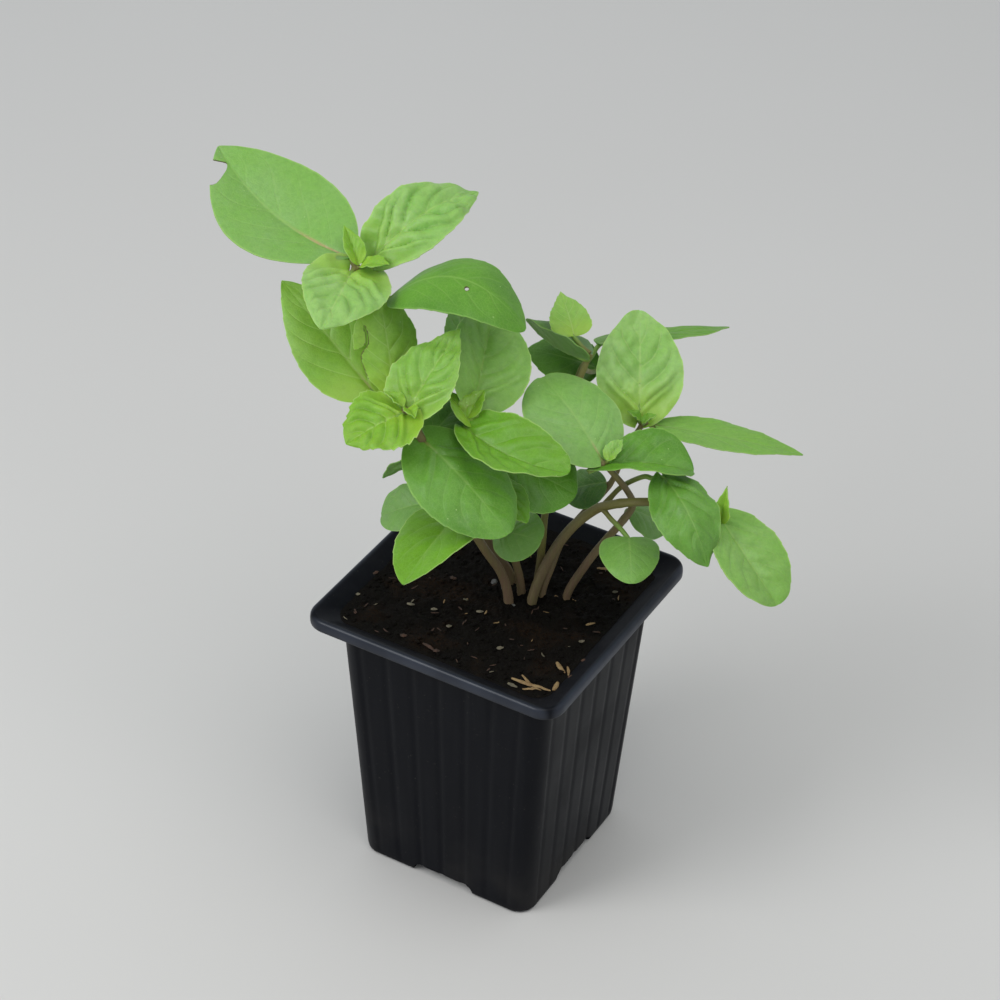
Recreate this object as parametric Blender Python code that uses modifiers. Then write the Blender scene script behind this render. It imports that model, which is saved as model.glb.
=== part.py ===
"""Potted basil: a square black nursery pot, its soil and seven leafy stems, each one closed solid.

Lengths below are millimetres and the scene is in metres. +Z is up. The pot stands on z = 0, centred on the origin.
A leaf is a folded, arched blade of even thickness on a round stalk, and each stem is fused with its own leaves.
"""

from math import cos, pi, radians, sin
from typing import NamedTuple

import bmesh
import bpy
from mathutils import Vector

MM = 0.001

# Pot: sections are (half width, corner radius, height, share of the groove depth)
FOOT_HEIGHT = 1.5
FLANGE_UNDERSIDE = 98.9
RIM_TOP = 103.0
WALL_SECTIONS = (
    (30.25, 5.2, 0.0, 0.0),
    (31.75, 6.5, FOOT_HEIGHT, 0.0),
    (31.9, 6.5, 3.6, 1.0),
    (37.3, 7.0, 95.0, 1.0),
    (37.55, 7.0, 99.6, 0.0),
)
RIM_SECTIONS = (
    (44.4, 6.6, FLANGE_UNDERSIDE, 0.0),
    (45.0, 7.2, 99.4, 0.0),
    (45.0, 7.2, 101.2, 0.0),
    (44.8, 7.0, 102.1, 0.0),
    (44.3, 6.5, 102.8, 0.0),
    (43.6, 5.8, RIM_TOP, 0.0),
)
CAVITY_SECTIONS = (
    (30.5, 5.2, 2.0, 0.0),
    (36.2, 5.8, 97.5, 0.0),
    (36.6, 5.8, 99.6, 0.0),
    (38.7, 6.0, 100.6, 0.0),
    (43.6, 5.8, 103.0, 0.0),
    (47.7, 9.9, 105.0, 0.0),
)
CORNER_STEPS = 5
GROOVES_A_SIDE = 7
GROOVE_SPREAD = 0.96
GROOVE_HALF_WIDTH = 1.5
GROOVE_DEPTH = 0.45

# Arches under the middle of each side of the base, with one drain hole in each
ARCH_WIDTH = 23.0
ARCH_HEIGHT = 3.8
ARCH_INNER_END = 24.8
ARCH_OUTER_END = 34.0
ARCH_SHOULDER = 3.4
WALL_THICKNESS = 1.2
DRAIN_RADIUS = 2.2
DRAIN_FROM_CENTRE = 27.6

# Soil
SOIL_GAP = 0.3
SOIL_SECTIONS = (
    (30.2, 4.9, 2.3, 0.0),
    (35.9, 5.5, 97.5, 0.0),
    (36.3, 5.5, 99.7, 0.0),
    (38.2, 5.6, 100.6, 0.0),
)
SOIL_SURFACE = 100.4
SOIL_LUMP = 0.35
SOIL_RINGS = (0.93, 0.76, 0.58, 0.4, 0.2)
HOLE_BOTTOM = 87.6
HOLE_TOP = 106.0
HOLE_CLEARANCE = 0.4
HOLE_SIDES = 12

# Leaves and stems
BLADE_THICKNESS = 0.78
TOOTH = 0.35
BLADE_START = 0.02
BLADE_END = 0.985
CUP = 0.15
HEART_POWER = 5
LOBE_POWER = 1.5
SMALL_BLADE = 13.0
STALK_JOIN = 0.14
STALK_ENTRY = 0.04
STALK_RADIUS = 0.85
SMALL_STALK_RADIUS = 0.6
STEM_TAPER = 0.72
STALK_END_SHARE = 0.7
STALK_SAG = 0.06
LONG_STALK = 6.0

POT_COLOUR = (0.018, 0.020, 0.024, 1.0)
SOIL_COLOUR = (0.030, 0.020, 0.014, 1.0)
LEAF_COLOUR = (0.22, 0.42, 0.07, 1.0)


class Leaf(NamedTuple):
    """One blade from its base to its tip, turned by roll about that line, with its two halves folded up.

    Lean folds one half more than the other, arch and bend bow the midrib up and aside as shares of the length,
    and heart draws the two lobes at the base back along the stalk.
    """

    name: str
    base: tuple
    tip: tuple
    width: float
    roll: float = 0.0
    fold: float = 12.0
    lean: float = 0.0
    arch: float = 0.06
    bend: float = 0.0
    swell: float = 0.55
    taper: float = 0.8
    heart: float = 0.0
    stalk: tuple = ()


class Stem(NamedTuple):
    """One shoot: the line that its axis follows out of the soil, and the leaves it carries."""

    name: str
    radius: float
    route: tuple
    leaves: tuple


TALL_LEFT = Stem(
    "leafy_stem_tall_left",
    1.5,
    (
        (0, 8, 88),
        (0, 8, 101),
        (-4, 4, 113),
        (-11, -1, 129),
        (-23, -5, 147),
        (-29, -5, 157),
        (-35, -5, 166),
        (-40, 0, 174),
        (-45, 4, 183),
        (-48, 5, 191),
        (-52, 3, 198),
        (-54, 1, 203),
    ),
    (
        Leaf(
            "1",
            (-57, 3.5, 204),
            (-114.5, 16.5, 218.5),
            40,
            roll=-17,
            fold=20,
            lean=-4,
            arch=-0.045,
            bend=-0.07,
            swell=0.72,
            taper=0.88,
        ),
        Leaf("2", (-52.5, 6.5, 202.5), (-36, 43, 214), 25, roll=14, arch=0.2, bend=0.03, taper=0.9, heart=0.06),
        Leaf(
            "4",
            (-54, -1, 203),
            (-45, -32, 202),
            27,
            fold=8,
            lean=11,
            arch=0.08,
            bend=-0.04,
            swell=0.42,
            heart=0.26,
        ),
        Leaf(
            "5",
            (-40.7, -1, 197.5),
            (3, 5.5, 198),
            27,
            roll=15,
            fold=-4,
            lean=9,
            arch=0.25,
            bend=-0.1,
            taper=0.65,
        ),
        Leaf("6", (-37.5, -13, 170), (-77, -5, 193.5), 27, roll=-25, fold=8, arch=0.02, taper=0.95),
        Leaf("7", (-31, -13, 171), (-43, -2.5, 197), 20, fold=-8, arch=0.05, swell=0.85, taper=0.6),
        Leaf("3a", (-53, 1, 204), (-62, 7, 212), 8, fold=35, taper=1.1),
        Leaf("3b", (-52, 1, 204), (-43, 3, 206.5), 8, fold=25, taper=1.0),
    ),
)

FRONT_LEFT = Stem(
    "leafy_stem_front_left",
    1.6,
    (
        (4, -1, 88),
        (4, -1, 101),
        (2, -3, 112),
        (-2, -8, 124),
        (-8, -16, 145),
        (-14, -24, 168),
        (-17, -25, 175),
        (-20, -26, 179),
    ),
    (
        Leaf("24", (-12.5, -25, 169.5), (21, -33, 154), 29, roll=12, fold=-7, swell=0.45, taper=0.62, heart=0.14),
        Leaf("25", (-2, -14, 145), (0, -58, 143), 27, roll=-4, lean=-18),
        Leaf("8a", (-19.5, -25.5, 177.5), (-16, 0, 195), 23, roll=16, fold=14, lean=14, taper=1.15, heart=0.1),
        Leaf("8b", (-19, -26.5, 179), (-28, -45, 175), 24, roll=-12, swell=0.45, heart=0.2),
        Leaf("26", (-15, -18, 142), (-30, -22, 133), 16, roll=-30, fold=14, taper=0.5),
        Leaf("27", (-19, -17, 156), (-31, -20, 146), 7, roll=50, fold=10),
        Leaf("24b", (-14, -21, 167), (-13, 0, 171), 16, fold=5),
        Leaf("9a", (-18.5, -26, 180), (-14, -29, 180), 6, fold=40, taper=1.1),
        Leaf("9b", (-20, -26, 180), (-27, -26, 183), 6, fold=42, taper=1.1),
    ),
)

FRONT_MIDDLE = Stem(
    "leafy_stem_front_middle",
    1.4,
    (
        (5.5, 4.5, 88),
        (5.5, 4.5, 101),
        (5, 2, 112),
        (4, -2, 123),
        (1, -7, 142),
        (-2, -10, 160),
        (-3, -14, 171),
    ),
    (
        Leaf(
            "10",
            (-6, -14.5, 172),
            (30, -14, 168),
            27,
            roll=6,
            fold=30,
            arch=0.02,
            bend=0.11,
            taper=0.62,
            heart=0.06,
        ),
        Leaf(
            "11",
            (-6.5, -7, 174),
            (-16.5, 21.5, 191),
            30.5,
            roll=19,
            fold=23,
            lean=-15,
            bend=-0.02,
            taper=0.8,
            heart=0.08,
        ),
        Leaf("12", (-11, 0, 176), (-29.5, 20, 189), 14, fold=10),
        Leaf("10a", (-3, -14, 172), (-15, -10, 178), 9, fold=32, taper=1.0),
        Leaf("10b", (-6, -13, 173.5), (-5, -4, 179), 9, fold=30, taper=1.0),
        Leaf("29", (2, -3, 155), (24, 3, 147), 25, roll=25, fold=4, taper=0.6),
        Leaf("30", (1, -12, 154), (21, -22, 151), 13, fold=8),
        Leaf("28", (0, -4, 128), (16, -3, 130), 18, roll=25, fold=0, taper=0.5),
    ),
)

MIDDLE = Stem(
    "leafy_stem_middle",
    1.3,
    (
        (19, 10, 88),
        (19, 10, 101),
        (24, 12, 114),
        (29, 14, 124),
        (34, 15, 133),
        (37, 16, 140),
        (36, 14, 146),
        (34, 10, 153),
        (31, 7, 159),
    ),
    (
        Leaf("13", (30, 7, 160), (2, 19, 173), 31, fold=4, swell=0.5, taper=0.5, heart=0.06),
        Leaf(
            "15",
            (27, 3, 157.5),
            (54.5, 20.5, 156.5),
            26,
            roll=2,
            fold=33,
            bend=-0.06,
            swell=1.0,
            taper=0.5,
        ),
        Leaf("14a", (32.2, 6.4, 160.8), (33.5, 13.5, 165), 6.5, fold=34, taper=1.0),
        Leaf("22b", (33, 21, 134), (44, 26, 128), 18, fold=0, taper=0.5),
    ),
)

RIGHT_BACK = Stem(
    "leafy_stem_right_back",
    1.1,
    (
        (11.8, 7, 88),
        (11.8, 7, 101),
        (13.1, 9.9, 110),
        (14.2, 13.9, 118),
        (17, 18.7, 125),
        (21.4, 25.2, 132),
        (24, 28, 138),
        (26, 32, 148),
        (29, 36, 156),
    ),
    (
        Leaf("16", (28, 35, 156.5), (15, 57, 181), 27.5, fold=10, taper=0.75, heart=0.06),
        Leaf("20", (32.5, 37, 156), (74.5, 57, 148.5), 15, roll=2, fold=10, arch=0.02, taper=0.9),
        Leaf("16a", (29, 34, 158), (24, 32, 161.5), 5.5, fold=30, taper=1.0),
        Leaf("16b", (29.7, 32.7, 158.2), (34.5, 36.5, 161.5), 5, fold=30, taper=1.0),
        Leaf("23", (22, 27, 136), (11, 20, 132), 17, roll=-10, fold=0, taper=0.5),
    ),
)

RIGHT_LOW = Stem(
    "leafy_stem_right",
    1.6,
    (
        (10.5, 3, 88),
        (10.5, 3, 101),
        (14, 6, 116),
        (20, 8, 129),
        (27, 10, 138),
        (33, 9, 143),
        (39, 9.6, 146),
        (46, 14, 146),
        (56, 17, 146),
        (62, 19, 145),
    ),
    (
        Leaf(
            "21a",
            (46, 16, 155),
            (70.5, 1, 140),
            20,
            roll=10,
            fold=-8,
            arch=0.2,
            swell=0.65,
            heart=0.06,
            stalk=((30, 9.5, 140.8), (32.7, 15.7, 145.4), (39.8, 15.6, 152.2)),
        ),
        Leaf("21b", (63, 20, 146), (90.5, 9.5, 128), 26, roll=8, fold=18, lean=12, bend=0.03, taper=0.5),
        Leaf("21c", (66.8, 15.6, 145.6), (66, 20, 156.4), 7, fold=38, swell=0.45, taper=1.3),
        Leaf("21d", (66.4, 15.4, 145.8), (60.6, 15.4, 150.4), 5, fold=38, taper=1.1),
        Leaf(
            "22",
            (41, 6.5, 135.5),
            (50, -8, 131),
            18.5,
            fold=-5,
            swell=0.2,
            taper=0.58,
            heart=0.06,
            stalk=((30, 9.5, 140.2), (33.5, 8.2, 138.6), (37.2, 7.6, 136.8)),
        ),
    ),
)

BACK = Stem(
    "leafy_stem_back",
    1.3,
    (
        (8.5, 9.5, 88),
        (8.5, 9.5, 101),
        (10, 8, 112),
        (11, 7, 122),
        (10, 10, 131),
        (9, 17, 147),
        (9, 26, 163),
        (10, 34, 176),
    ),
    (
        Leaf("17", (4.2, 34.5, 180), (-7.4, 46, 186), 13.5, fold=8, swell=0.42, taper=1.1),
        Leaf("18", (11, 32.5, 175.5), (-11, 31, 183), 27, fold=29, lean=-32, arch=-0.12),
        Leaf(
            "19",
            (5.6, 47.2, 170.9),
            (34.5, 82.5, 167.5),
            20,
            roll=-22,
            fold=8,
            arch=0.01,
            swell=0.4,
            stalk=((9, 26, 163), (5, 38, 166)),
        ),
        Leaf("31", (8.5, 44.5, 163.7), (-13.4, 36.8, 167.5), 18, roll=-25, fold=0),
    ),
)

STEMS = (TALL_LEFT, FRONT_LEFT, FRONT_MIDDLE, MIDDLE, RIGHT_BACK, RIGHT_LOW, BACK)


def clear_scene():
    for obj in list(bpy.data.objects):
        bpy.data.objects.remove(obj, do_unlink=True)


def new_collection(name, hidden=False):
    collection = bpy.data.collections.new(name)
    collection.hide_render = hidden
    bpy.context.scene.collection.children.link(collection)
    return collection


def new_material(name, colour, roughness):
    material = bpy.data.materials.new(name)
    material.use_nodes = True
    shader = material.node_tree.nodes["Principled BSDF"]
    shader.inputs["Base Color"].default_value = colour
    shader.inputs["Roughness"].default_value = roughness
    return material


def weld(mesh):
    """Joins points that lie on one another and turns every face outwards."""
    work = bmesh.new()
    work.from_mesh(mesh)
    bmesh.ops.remove_doubles(work, verts=work.verts, dist=1e-6)
    bmesh.ops.recalc_face_normals(work, faces=work.faces)
    if work.calc_volume(signed=True) < 0:
        bmesh.ops.reverse_faces(work, faces=work.faces)
    work.to_mesh(mesh)
    work.free()


def keep_largest_body(mesh):
    """Drops the loose scraps and sealed bubbles that fusing can leave."""
    work = bmesh.new()
    work.from_mesh(mesh)
    left = set(work.faces)
    bodies = []
    while left:
        first = left.pop()
        body = {first}
        waiting = [first]
        while waiting:
            for edge in waiting.pop().edges:
                for face in edge.link_faces:
                    if face in left:
                        left.discard(face)
                        body.add(face)
                        waiting.append(face)
        bodies.append(body)
    bodies.sort(key=len)
    scraps = [face for body in bodies[:-1] for face in body]
    bmesh.ops.delete(work, geom=scraps, context="FACES")
    work.to_mesh(mesh)
    work.free()


def mesh_object(name, points, faces, collection):
    """An object from points in millimetres."""
    mesh = bpy.data.meshes.new(name)
    mesh.from_pydata([tuple(value * MM for value in point) for point in points], [], faces)
    mesh.validate()
    mesh.update()
    obj = bpy.data.objects.new(name, mesh)
    collection.objects.link(obj)
    return obj


def applied(obj):
    """Replaces an object's mesh by what its modifiers make of it."""
    bpy.context.view_layer.update()
    graph = bpy.context.evaluated_depsgraph_get()
    mesh = bpy.data.meshes.new_from_object(obj.evaluated_get(graph))
    old = obj.data
    obj.modifiers.clear()
    obj.data = mesh
    mesh.name = obj.name
    bpy.data.meshes.remove(old)
    return obj


def boolean(target, tool, operation):
    modifier = target.modifiers.new(operation.lower(), "BOOLEAN")
    modifier.operation = operation
    modifier.solver = "EXACT"
    modifier.object = tool
    tool.display_type = "WIRE"
    tool.hide_render = True


def square_ring(half, corner, height, groove):
    """Points round a rounded square, with upright grooves pressed into each side."""
    points = []
    straight = half - corner
    depth = GROOVE_DEPTH * groove
    for side in range(4):
        turn = side * pi / 2
        flat = []
        for index in range(GROOVES_A_SIDE):
            share = 2 * index / (GROOVES_A_SIDE - 1) - 1
            middle = share * GROOVE_SPREAD * straight
            flat.append((half, middle - GROOVE_HALF_WIDTH))
            flat.append((half - depth, middle))
            flat.append((half, middle + GROOVE_HALF_WIDTH))
        flat = [(x, max(-straight + 0.1, min(straight - 0.1, y))) for x, y in flat]
        for step in range(CORNER_STEPS + 1):
            angle = step / CORNER_STEPS * pi / 2
            flat.append((straight + corner * cos(angle), straight + corner * sin(angle)))
        for x, y in flat:
            points.append((x * cos(turn) - y * sin(turn), x * sin(turn) + y * cos(turn), height))
    return points


def plain_ring(half, corner, height):
    """Points round a rounded square with plain sides."""
    points = []
    straight = half - corner
    for side in range(4):
        for step in range(CORNER_STEPS + 1):
            angle = (side + step / CORNER_STEPS) * pi / 2
            centre = (side + 0.5) * pi / 2
            x = straight * (1 if cos(centre) > 0 else -1) + corner * cos(angle)
            y = straight * (1 if sin(centre) > 0 else -1) + corner * sin(angle)
            points.append((x, y, height))
    return points


def lofted(name, rings, collection):
    """A closed solid through rings of the same number of points, from the bottom up."""
    count = len(rings[0])
    points = [point for ring in rings for point in ring]
    faces = [tuple(reversed(range(count)))]
    for level in range(len(rings) - 1):
        for index in range(count):
            following = (index + 1) % count
            low = level * count
            high = low + count
            faces.append((low + index, low + following, high + following, high + index))
    top = (len(rings) - 1) * count
    faces.append(tuple(range(top, top + count)))
    obj = mesh_object(name, points, faces, collection)
    weld(obj.data)
    return obj


def arch_cutter(name, side, swell, collection):
    """A prism with a rounded arch for its end, lying under one side of the base and grown by swell all round."""
    half = ARCH_WIDTH / 2 + swell
    top = ARCH_HEIGHT + swell
    shoulder = ARCH_SHOULDER
    profile = [(-half, -3.0), (half, -3.0), (half, top - shoulder)]
    for step in range(1, 4):
        angle = step / 4 * pi / 2
        profile.append((half - shoulder + shoulder * cos(angle), top - shoulder + shoulder * sin(angle)))
    profile.append((half - shoulder, top))
    profile.append((shoulder - half, top))
    for step in range(1, 4):
        angle = pi / 2 + step / 4 * pi / 2
        profile.append((shoulder - half + shoulder * cos(angle), top - shoulder + shoulder * sin(angle)))
    profile.append((-half, top - shoulder))
    turn = side * pi / 2
    rings = []
    for reach in (ARCH_OUTER_END, ARCH_INNER_END - swell):
        ring = []
        for across, height in profile:
            x = reach * cos(turn) - across * sin(turn)
            y = reach * sin(turn) + across * cos(turn)
            ring.append((x, y, height))
        rings.append(ring)
    return lofted(name, rings, collection)


def cylinder(name, centre, radius, bottom, top, collection):
    bpy.ops.mesh.primitive_cylinder_add(
        vertices=HOLE_SIDES,
        radius=radius * MM,
        depth=(top - bottom) * MM,
        location=(centre[0] * MM, centre[1] * MM, (bottom + top) / 2 * MM),
    )
    obj = bpy.context.object
    obj.name = name
    for owner in list(obj.users_collection):
        owner.objects.unlink(obj)
    collection.objects.link(obj)
    return obj


def finish(obj, material, smooth_angle):
    obj.data.materials.clear()
    obj.data.materials.append(material)
    obj.data.shade_smooth()
    obj.data.set_sharp_from_angle(angle=radians(smooth_angle))


def make_pot(collection, cutters):
    pot = lofted("pot", [square_ring(*section) for section in WALL_SECTIONS], collection)
    rim = lofted("rim_block", [plain_ring(*section[:3]) for section in RIM_SECTIONS], cutters)
    cavity = lofted("pot_cavity", [plain_ring(*section[:3]) for section in CAVITY_SECTIONS], cutters)
    for side in range(4):
        boolean(cavity, arch_cutter(f"arch_wall_{side}", side, WALL_THICKNESS, cutters), "DIFFERENCE")
    applied(cavity)
    boolean(pot, rim, "UNION")
    boolean(pot, cavity, "DIFFERENCE")
    for side in range(4):
        boolean(pot, arch_cutter(f"arch_{side}", side, 0.0, cutters), "DIFFERENCE")
        turn = side * pi / 2
        centre = (DRAIN_FROM_CENTRE * cos(turn), DRAIN_FROM_CENTRE * sin(turn))
        drain = cylinder(f"drain_{side}", centre, DRAIN_RADIUS, ARCH_HEIGHT - 1.0, ARCH_HEIGHT + 3.0, cutters)
        boolean(pot, drain, "DIFFERENCE")
    applied(pot)
    finish(pot, new_material("black_plastic", POT_COLOUR, 0.45), 28)
    return pot


def soil_height(x, y):
    """Height of the uneven soil surface."""
    wave = sin(0.31 * x + 1.2) * cos(0.27 * y - 0.4) + 0.7 * sin(0.63 * y - 0.22 * x)
    return SOIL_SURFACE + SOIL_LUMP * wave


def make_soil(collection, cutters):
    rings = [plain_ring(*section[:3]) for section in SOIL_SECTIONS]
    half, corner, edge_height, _ = SOIL_SECTIONS[-1]
    for share in SOIL_RINGS:
        ring = []
        for x, y, _ in plain_ring(half * share, max(corner * share, 1.0), edge_height):
            ring.append((x, y, soil_height(x, y)))
        rings.append(ring)
    soil = lofted("soil", rings, collection)
    for side in range(4):
        swell = WALL_THICKNESS + SOIL_GAP
        boolean(soil, arch_cutter(f"arch_soil_{side}", side, swell, cutters), "DIFFERENCE")
    for stem in STEMS:
        radius = stem.radius + HOLE_CLEARANCE
        hole = cylinder(f"hole_{stem.name}", stem.route[0], radius, HOLE_BOTTOM, HOLE_TOP, cutters)
        boolean(soil, hole, "DIFFERENCE")
    applied(soil)
    finish(soil, new_material("dark_soil", SOIL_COLOUR, 0.95), 40)
    return soil


def tube(name, points, radii, resolution, collection):
    """A round rod along a line, as a mesh. Its radius changes from point to point."""
    curve = bpy.data.curves.new(name, "CURVE")
    curve.dimensions = "3D"
    curve.bevel_depth = MM
    curve.bevel_resolution = resolution
    curve.use_fill_caps = True
    spline = curve.splines.new("POLY")
    spline.points.add(len(points) - 1)
    for target, point, radius in zip(spline.points, points, radii):
        target.co = (point[0] * MM, point[1] * MM, point[2] * MM, 1.0)
        target.radius = radius
    rod = bpy.data.objects.new(name + "_axis", curve)
    bpy.context.scene.collection.objects.link(rod)
    bpy.context.view_layer.update()
    graph = bpy.context.evaluated_depsgraph_get()
    mesh = bpy.data.meshes.new_from_object(rod.evaluated_get(graph))
    mesh.name = name
    mesh.transform(rod.matrix_world)
    weld(mesh)
    bpy.data.objects.remove(rod, do_unlink=True)
    bpy.data.curves.remove(curve)
    obj = bpy.data.objects.new(name, mesh)
    collection.objects.link(obj)
    return obj


def outline(along, swell, taper):
    """Half width of a blade along its length, 1 at its widest."""
    widest = swell / (swell + taper)
    peak = widest**swell * (1 - widest) ** taper
    return along**swell * (1 - along) ** taper / peak


class Blade:
    """The surface of one leaf."""

    def __init__(self, leaf):
        self.leaf = leaf
        self.base = Vector(leaf.base)
        chord = Vector(leaf.tip) - self.base
        self.length = chord.length
        self.chord = chord.normalized()
        up = (Vector((0, 0, 1)) - self.chord * self.chord.z).normalized()
        side = self.chord.cross(up)
        turn = radians(leaf.roll)
        self.up = up * cos(turn) + side * sin(turn)
        self.side = side * cos(turn) - up * sin(turn)

    def point(self, along, across, extra=0.0):
        leaf = self.leaf
        reach = abs(across)
        half = leaf.width / 2 * outline(along, leaf.swell, leaf.taper) + extra
        rise = 4 * along * (1 - along)
        along -= leaf.heart * reach**LOBE_POWER * (1 - along) ** HEART_POWER
        fold = radians(leaf.fold + leaf.lean * (1 if across > 0 else -1))
        lift = leaf.arch * self.length * rise + half * (reach * sin(fold) - CUP * across * across)
        shift = half * across * cos(fold) + leaf.bend * self.length * rise
        return self.base + self.chord * (self.length * along) + self.up * lift + self.side * shift


def make_blade(name, leaf, collection):
    blade = Blade(leaf)
    small = leaf.width < SMALL_BLADE
    stations = 6 if small else 9
    lines = 3 if small else 5
    points = []
    for station in range(stations):
        share = 0.5 - 0.5 * cos(pi * station / (stations - 1))
        along = BLADE_START + (BLADE_END - BLADE_START) * share
        inner = 0 < station < stations - 1
        tooth = TOOTH * (1 if station % 2 else -1) if inner and not small else 0.0
        for line in range(lines):
            across = 2 * line / (lines - 1) - 1
            extra = tooth if abs(across) == 1 else 0.0
            points.append(blade.point(along, across, extra))
    faces = []
    for station in range(stations - 1):
        for line in range(lines - 1):
            a = station * lines + line
            b = a + 1
            c = b + lines
            d = a + lines
            if line < (lines - 1) / 2:
                faces.append((a, d, c))
                faces.append((a, c, b))
            else:
                faces.append((a, d, b))
                faces.append((b, d, c))
    obj = mesh_object(name, points, faces, collection)
    solidify = obj.modifiers.new("thickness", "SOLIDIFY")
    solidify.thickness = BLADE_THICKNESS * MM
    solidify.offset = 0.0
    applied(obj)
    weld(obj.data)
    return obj


def nearest_on_route(route, point):
    """The point of a stem's axis that is nearest to a leaf's base, above the soil."""
    best = None
    for start, end in zip(route[1:], route[2:]):
        start = Vector(start)
        line = Vector(end) - start
        share = (Vector(point) - start).dot(line) / line.length_squared
        found = start + line * max(0.0, min(1.0, share))
        away = (found - Vector(point)).length
        if best is None or away < best[0]:
            best = (away, found)
    return best[1]


def make_stalk(name, leaf, route, collection):
    """The stalk from a stem's axis to a leaf, running on under its midrib."""
    blade = Blade(leaf)
    small = leaf.width < SMALL_BLADE
    radius = SMALL_STALK_RADIUS if small else STALK_RADIUS
    points = [Vector(point) for point in leaf.stalk] or [nearest_on_route(route, leaf.base)]
    entry = blade.point(STALK_ENTRY, 0.0)
    if (entry - points[-1]).length > LONG_STALK:
        middle = (entry + points[-1]) / 2
        middle.z -= STALK_SAG * (entry - points[-1]).length
        points.append(middle)
    points.append(entry)
    points.append(blade.point(STALK_JOIN, 0.0))
    radii = [radius] * (len(points) - 1) + [radius * STALK_END_SHARE]
    return tube(name, points, radii, 1, collection)


def make_stem(stem, collection, material):
    """One stem with its leaves and their stalks, fused into one body."""
    count = len(stem.route)
    radii = []
    for index in range(count):
        share = max(0, index - 1) / (count - 2)
        radii.append(stem.radius * (1 + (STEM_TAPER - 1) * share))
    body = tube(stem.name, stem.route, radii, 2, collection)
    pieces = new_collection("pieces_" + stem.name)
    for leaf in stem.leaves:
        make_blade(f"{stem.name}_blade_{leaf.name}", leaf, pieces)
        make_stalk(f"{stem.name}_stalk_{leaf.name}", leaf, stem.route, pieces)
    modifier = body.modifiers.new("fuse", "BOOLEAN")
    modifier.operation = "UNION"
    modifier.solver = "MANIFOLD"
    modifier.operand_type = "COLLECTION"
    modifier.collection = pieces
    applied(body)
    for obj in list(pieces.objects):
        bpy.data.objects.remove(obj, do_unlink=True)
    bpy.data.collections.remove(pieces)
    keep_largest_body(body.data)
    finish(body, material, 60)
    return body


def main():
    clear_scene()
    plant = new_collection("potted_basil")
    cutters = new_collection("cutters", hidden=True)
    make_pot(plant, cutters)
    make_soil(plant, cutters)
    for stem in STEMS:
        make_stem(stem, plant, new_material(stem.name, LEAF_COLOUR, 0.5))


if __name__ == "__main__":
    main()
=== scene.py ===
import math
import random
from typing import NamedTuple

import bmesh
import bpy
import numpy as np
from mathutils import Matrix, Vector, noise
from mathutils.kdtree import KDTree


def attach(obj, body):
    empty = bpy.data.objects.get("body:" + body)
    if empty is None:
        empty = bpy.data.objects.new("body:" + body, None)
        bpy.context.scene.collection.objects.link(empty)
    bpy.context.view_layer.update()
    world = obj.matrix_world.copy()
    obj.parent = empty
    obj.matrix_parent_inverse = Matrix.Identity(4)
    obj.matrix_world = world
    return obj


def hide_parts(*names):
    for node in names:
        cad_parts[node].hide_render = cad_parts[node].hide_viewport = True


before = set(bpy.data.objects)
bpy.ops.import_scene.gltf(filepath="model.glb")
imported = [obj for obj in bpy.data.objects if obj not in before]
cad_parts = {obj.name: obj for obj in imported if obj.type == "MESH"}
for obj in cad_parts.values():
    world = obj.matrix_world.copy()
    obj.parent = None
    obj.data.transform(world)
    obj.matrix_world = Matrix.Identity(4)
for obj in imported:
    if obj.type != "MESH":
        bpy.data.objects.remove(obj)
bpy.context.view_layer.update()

bl_info = {
    "name": "Potted basil",
    "version": (1, 0, 0),
    "blender": (4, 5, 0),
    "location": "View3D > Sidebar > Basil",
    "description": "Grows basil shoots in a square nursery pot and sets a plain studio round them",
    "category": "Object",
}

MM = 0.001

# Blades: rows and columns of points, the side veins' number and course, and how the two halves cup
SMALL_WIDTH = 13
SMALL_GRID = (40, 17)
FULL_GRID = (84, 35)
SMALL_TEETH = 5
FULL_TEETH = 9
END_TRIM = 0.003
SIDE_VEINS = 5.2
VEIN_CROWDING = 0.8
VEIN_SLANT = 0.3
VEIN_CURVE = 0.12
VEIN_HALF_WIDTH = 0.5
RIB_HALF_WIDTH = 0.7
RIB_HEIGHT = 0.45
VEIN_HEIGHT = 0.1
PUFFS_A_HALF = 9
PUFF_HEIGHTS = (0.45, 1.4)
RIDGES = 5
RIDGE_HEIGHT = 0.16
QUICK_WAVE = 0.45
SLOW_WAVE = 0.3
CUP = 0.15
CUT_DEPTH = 5.0
LEAF_SLOT = 0
STEM_SLOT = 1

# Stems: spacing of the points along them, how much they thin, and how far a stalk runs before it sags
STEM_SPACING = 0.5
STEM_THINNING = 0.28
KNOT_SWELL = 0.1
KNOT_LENGTH = 1.3
SAGGING_GAP = 6.0

# Random draws: any turn in radians, and the seeds of the crumbs and of the small bits
ANY_TURN = 6.28
CRUMB_SEED = 41
BIT_SEED = 7

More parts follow.
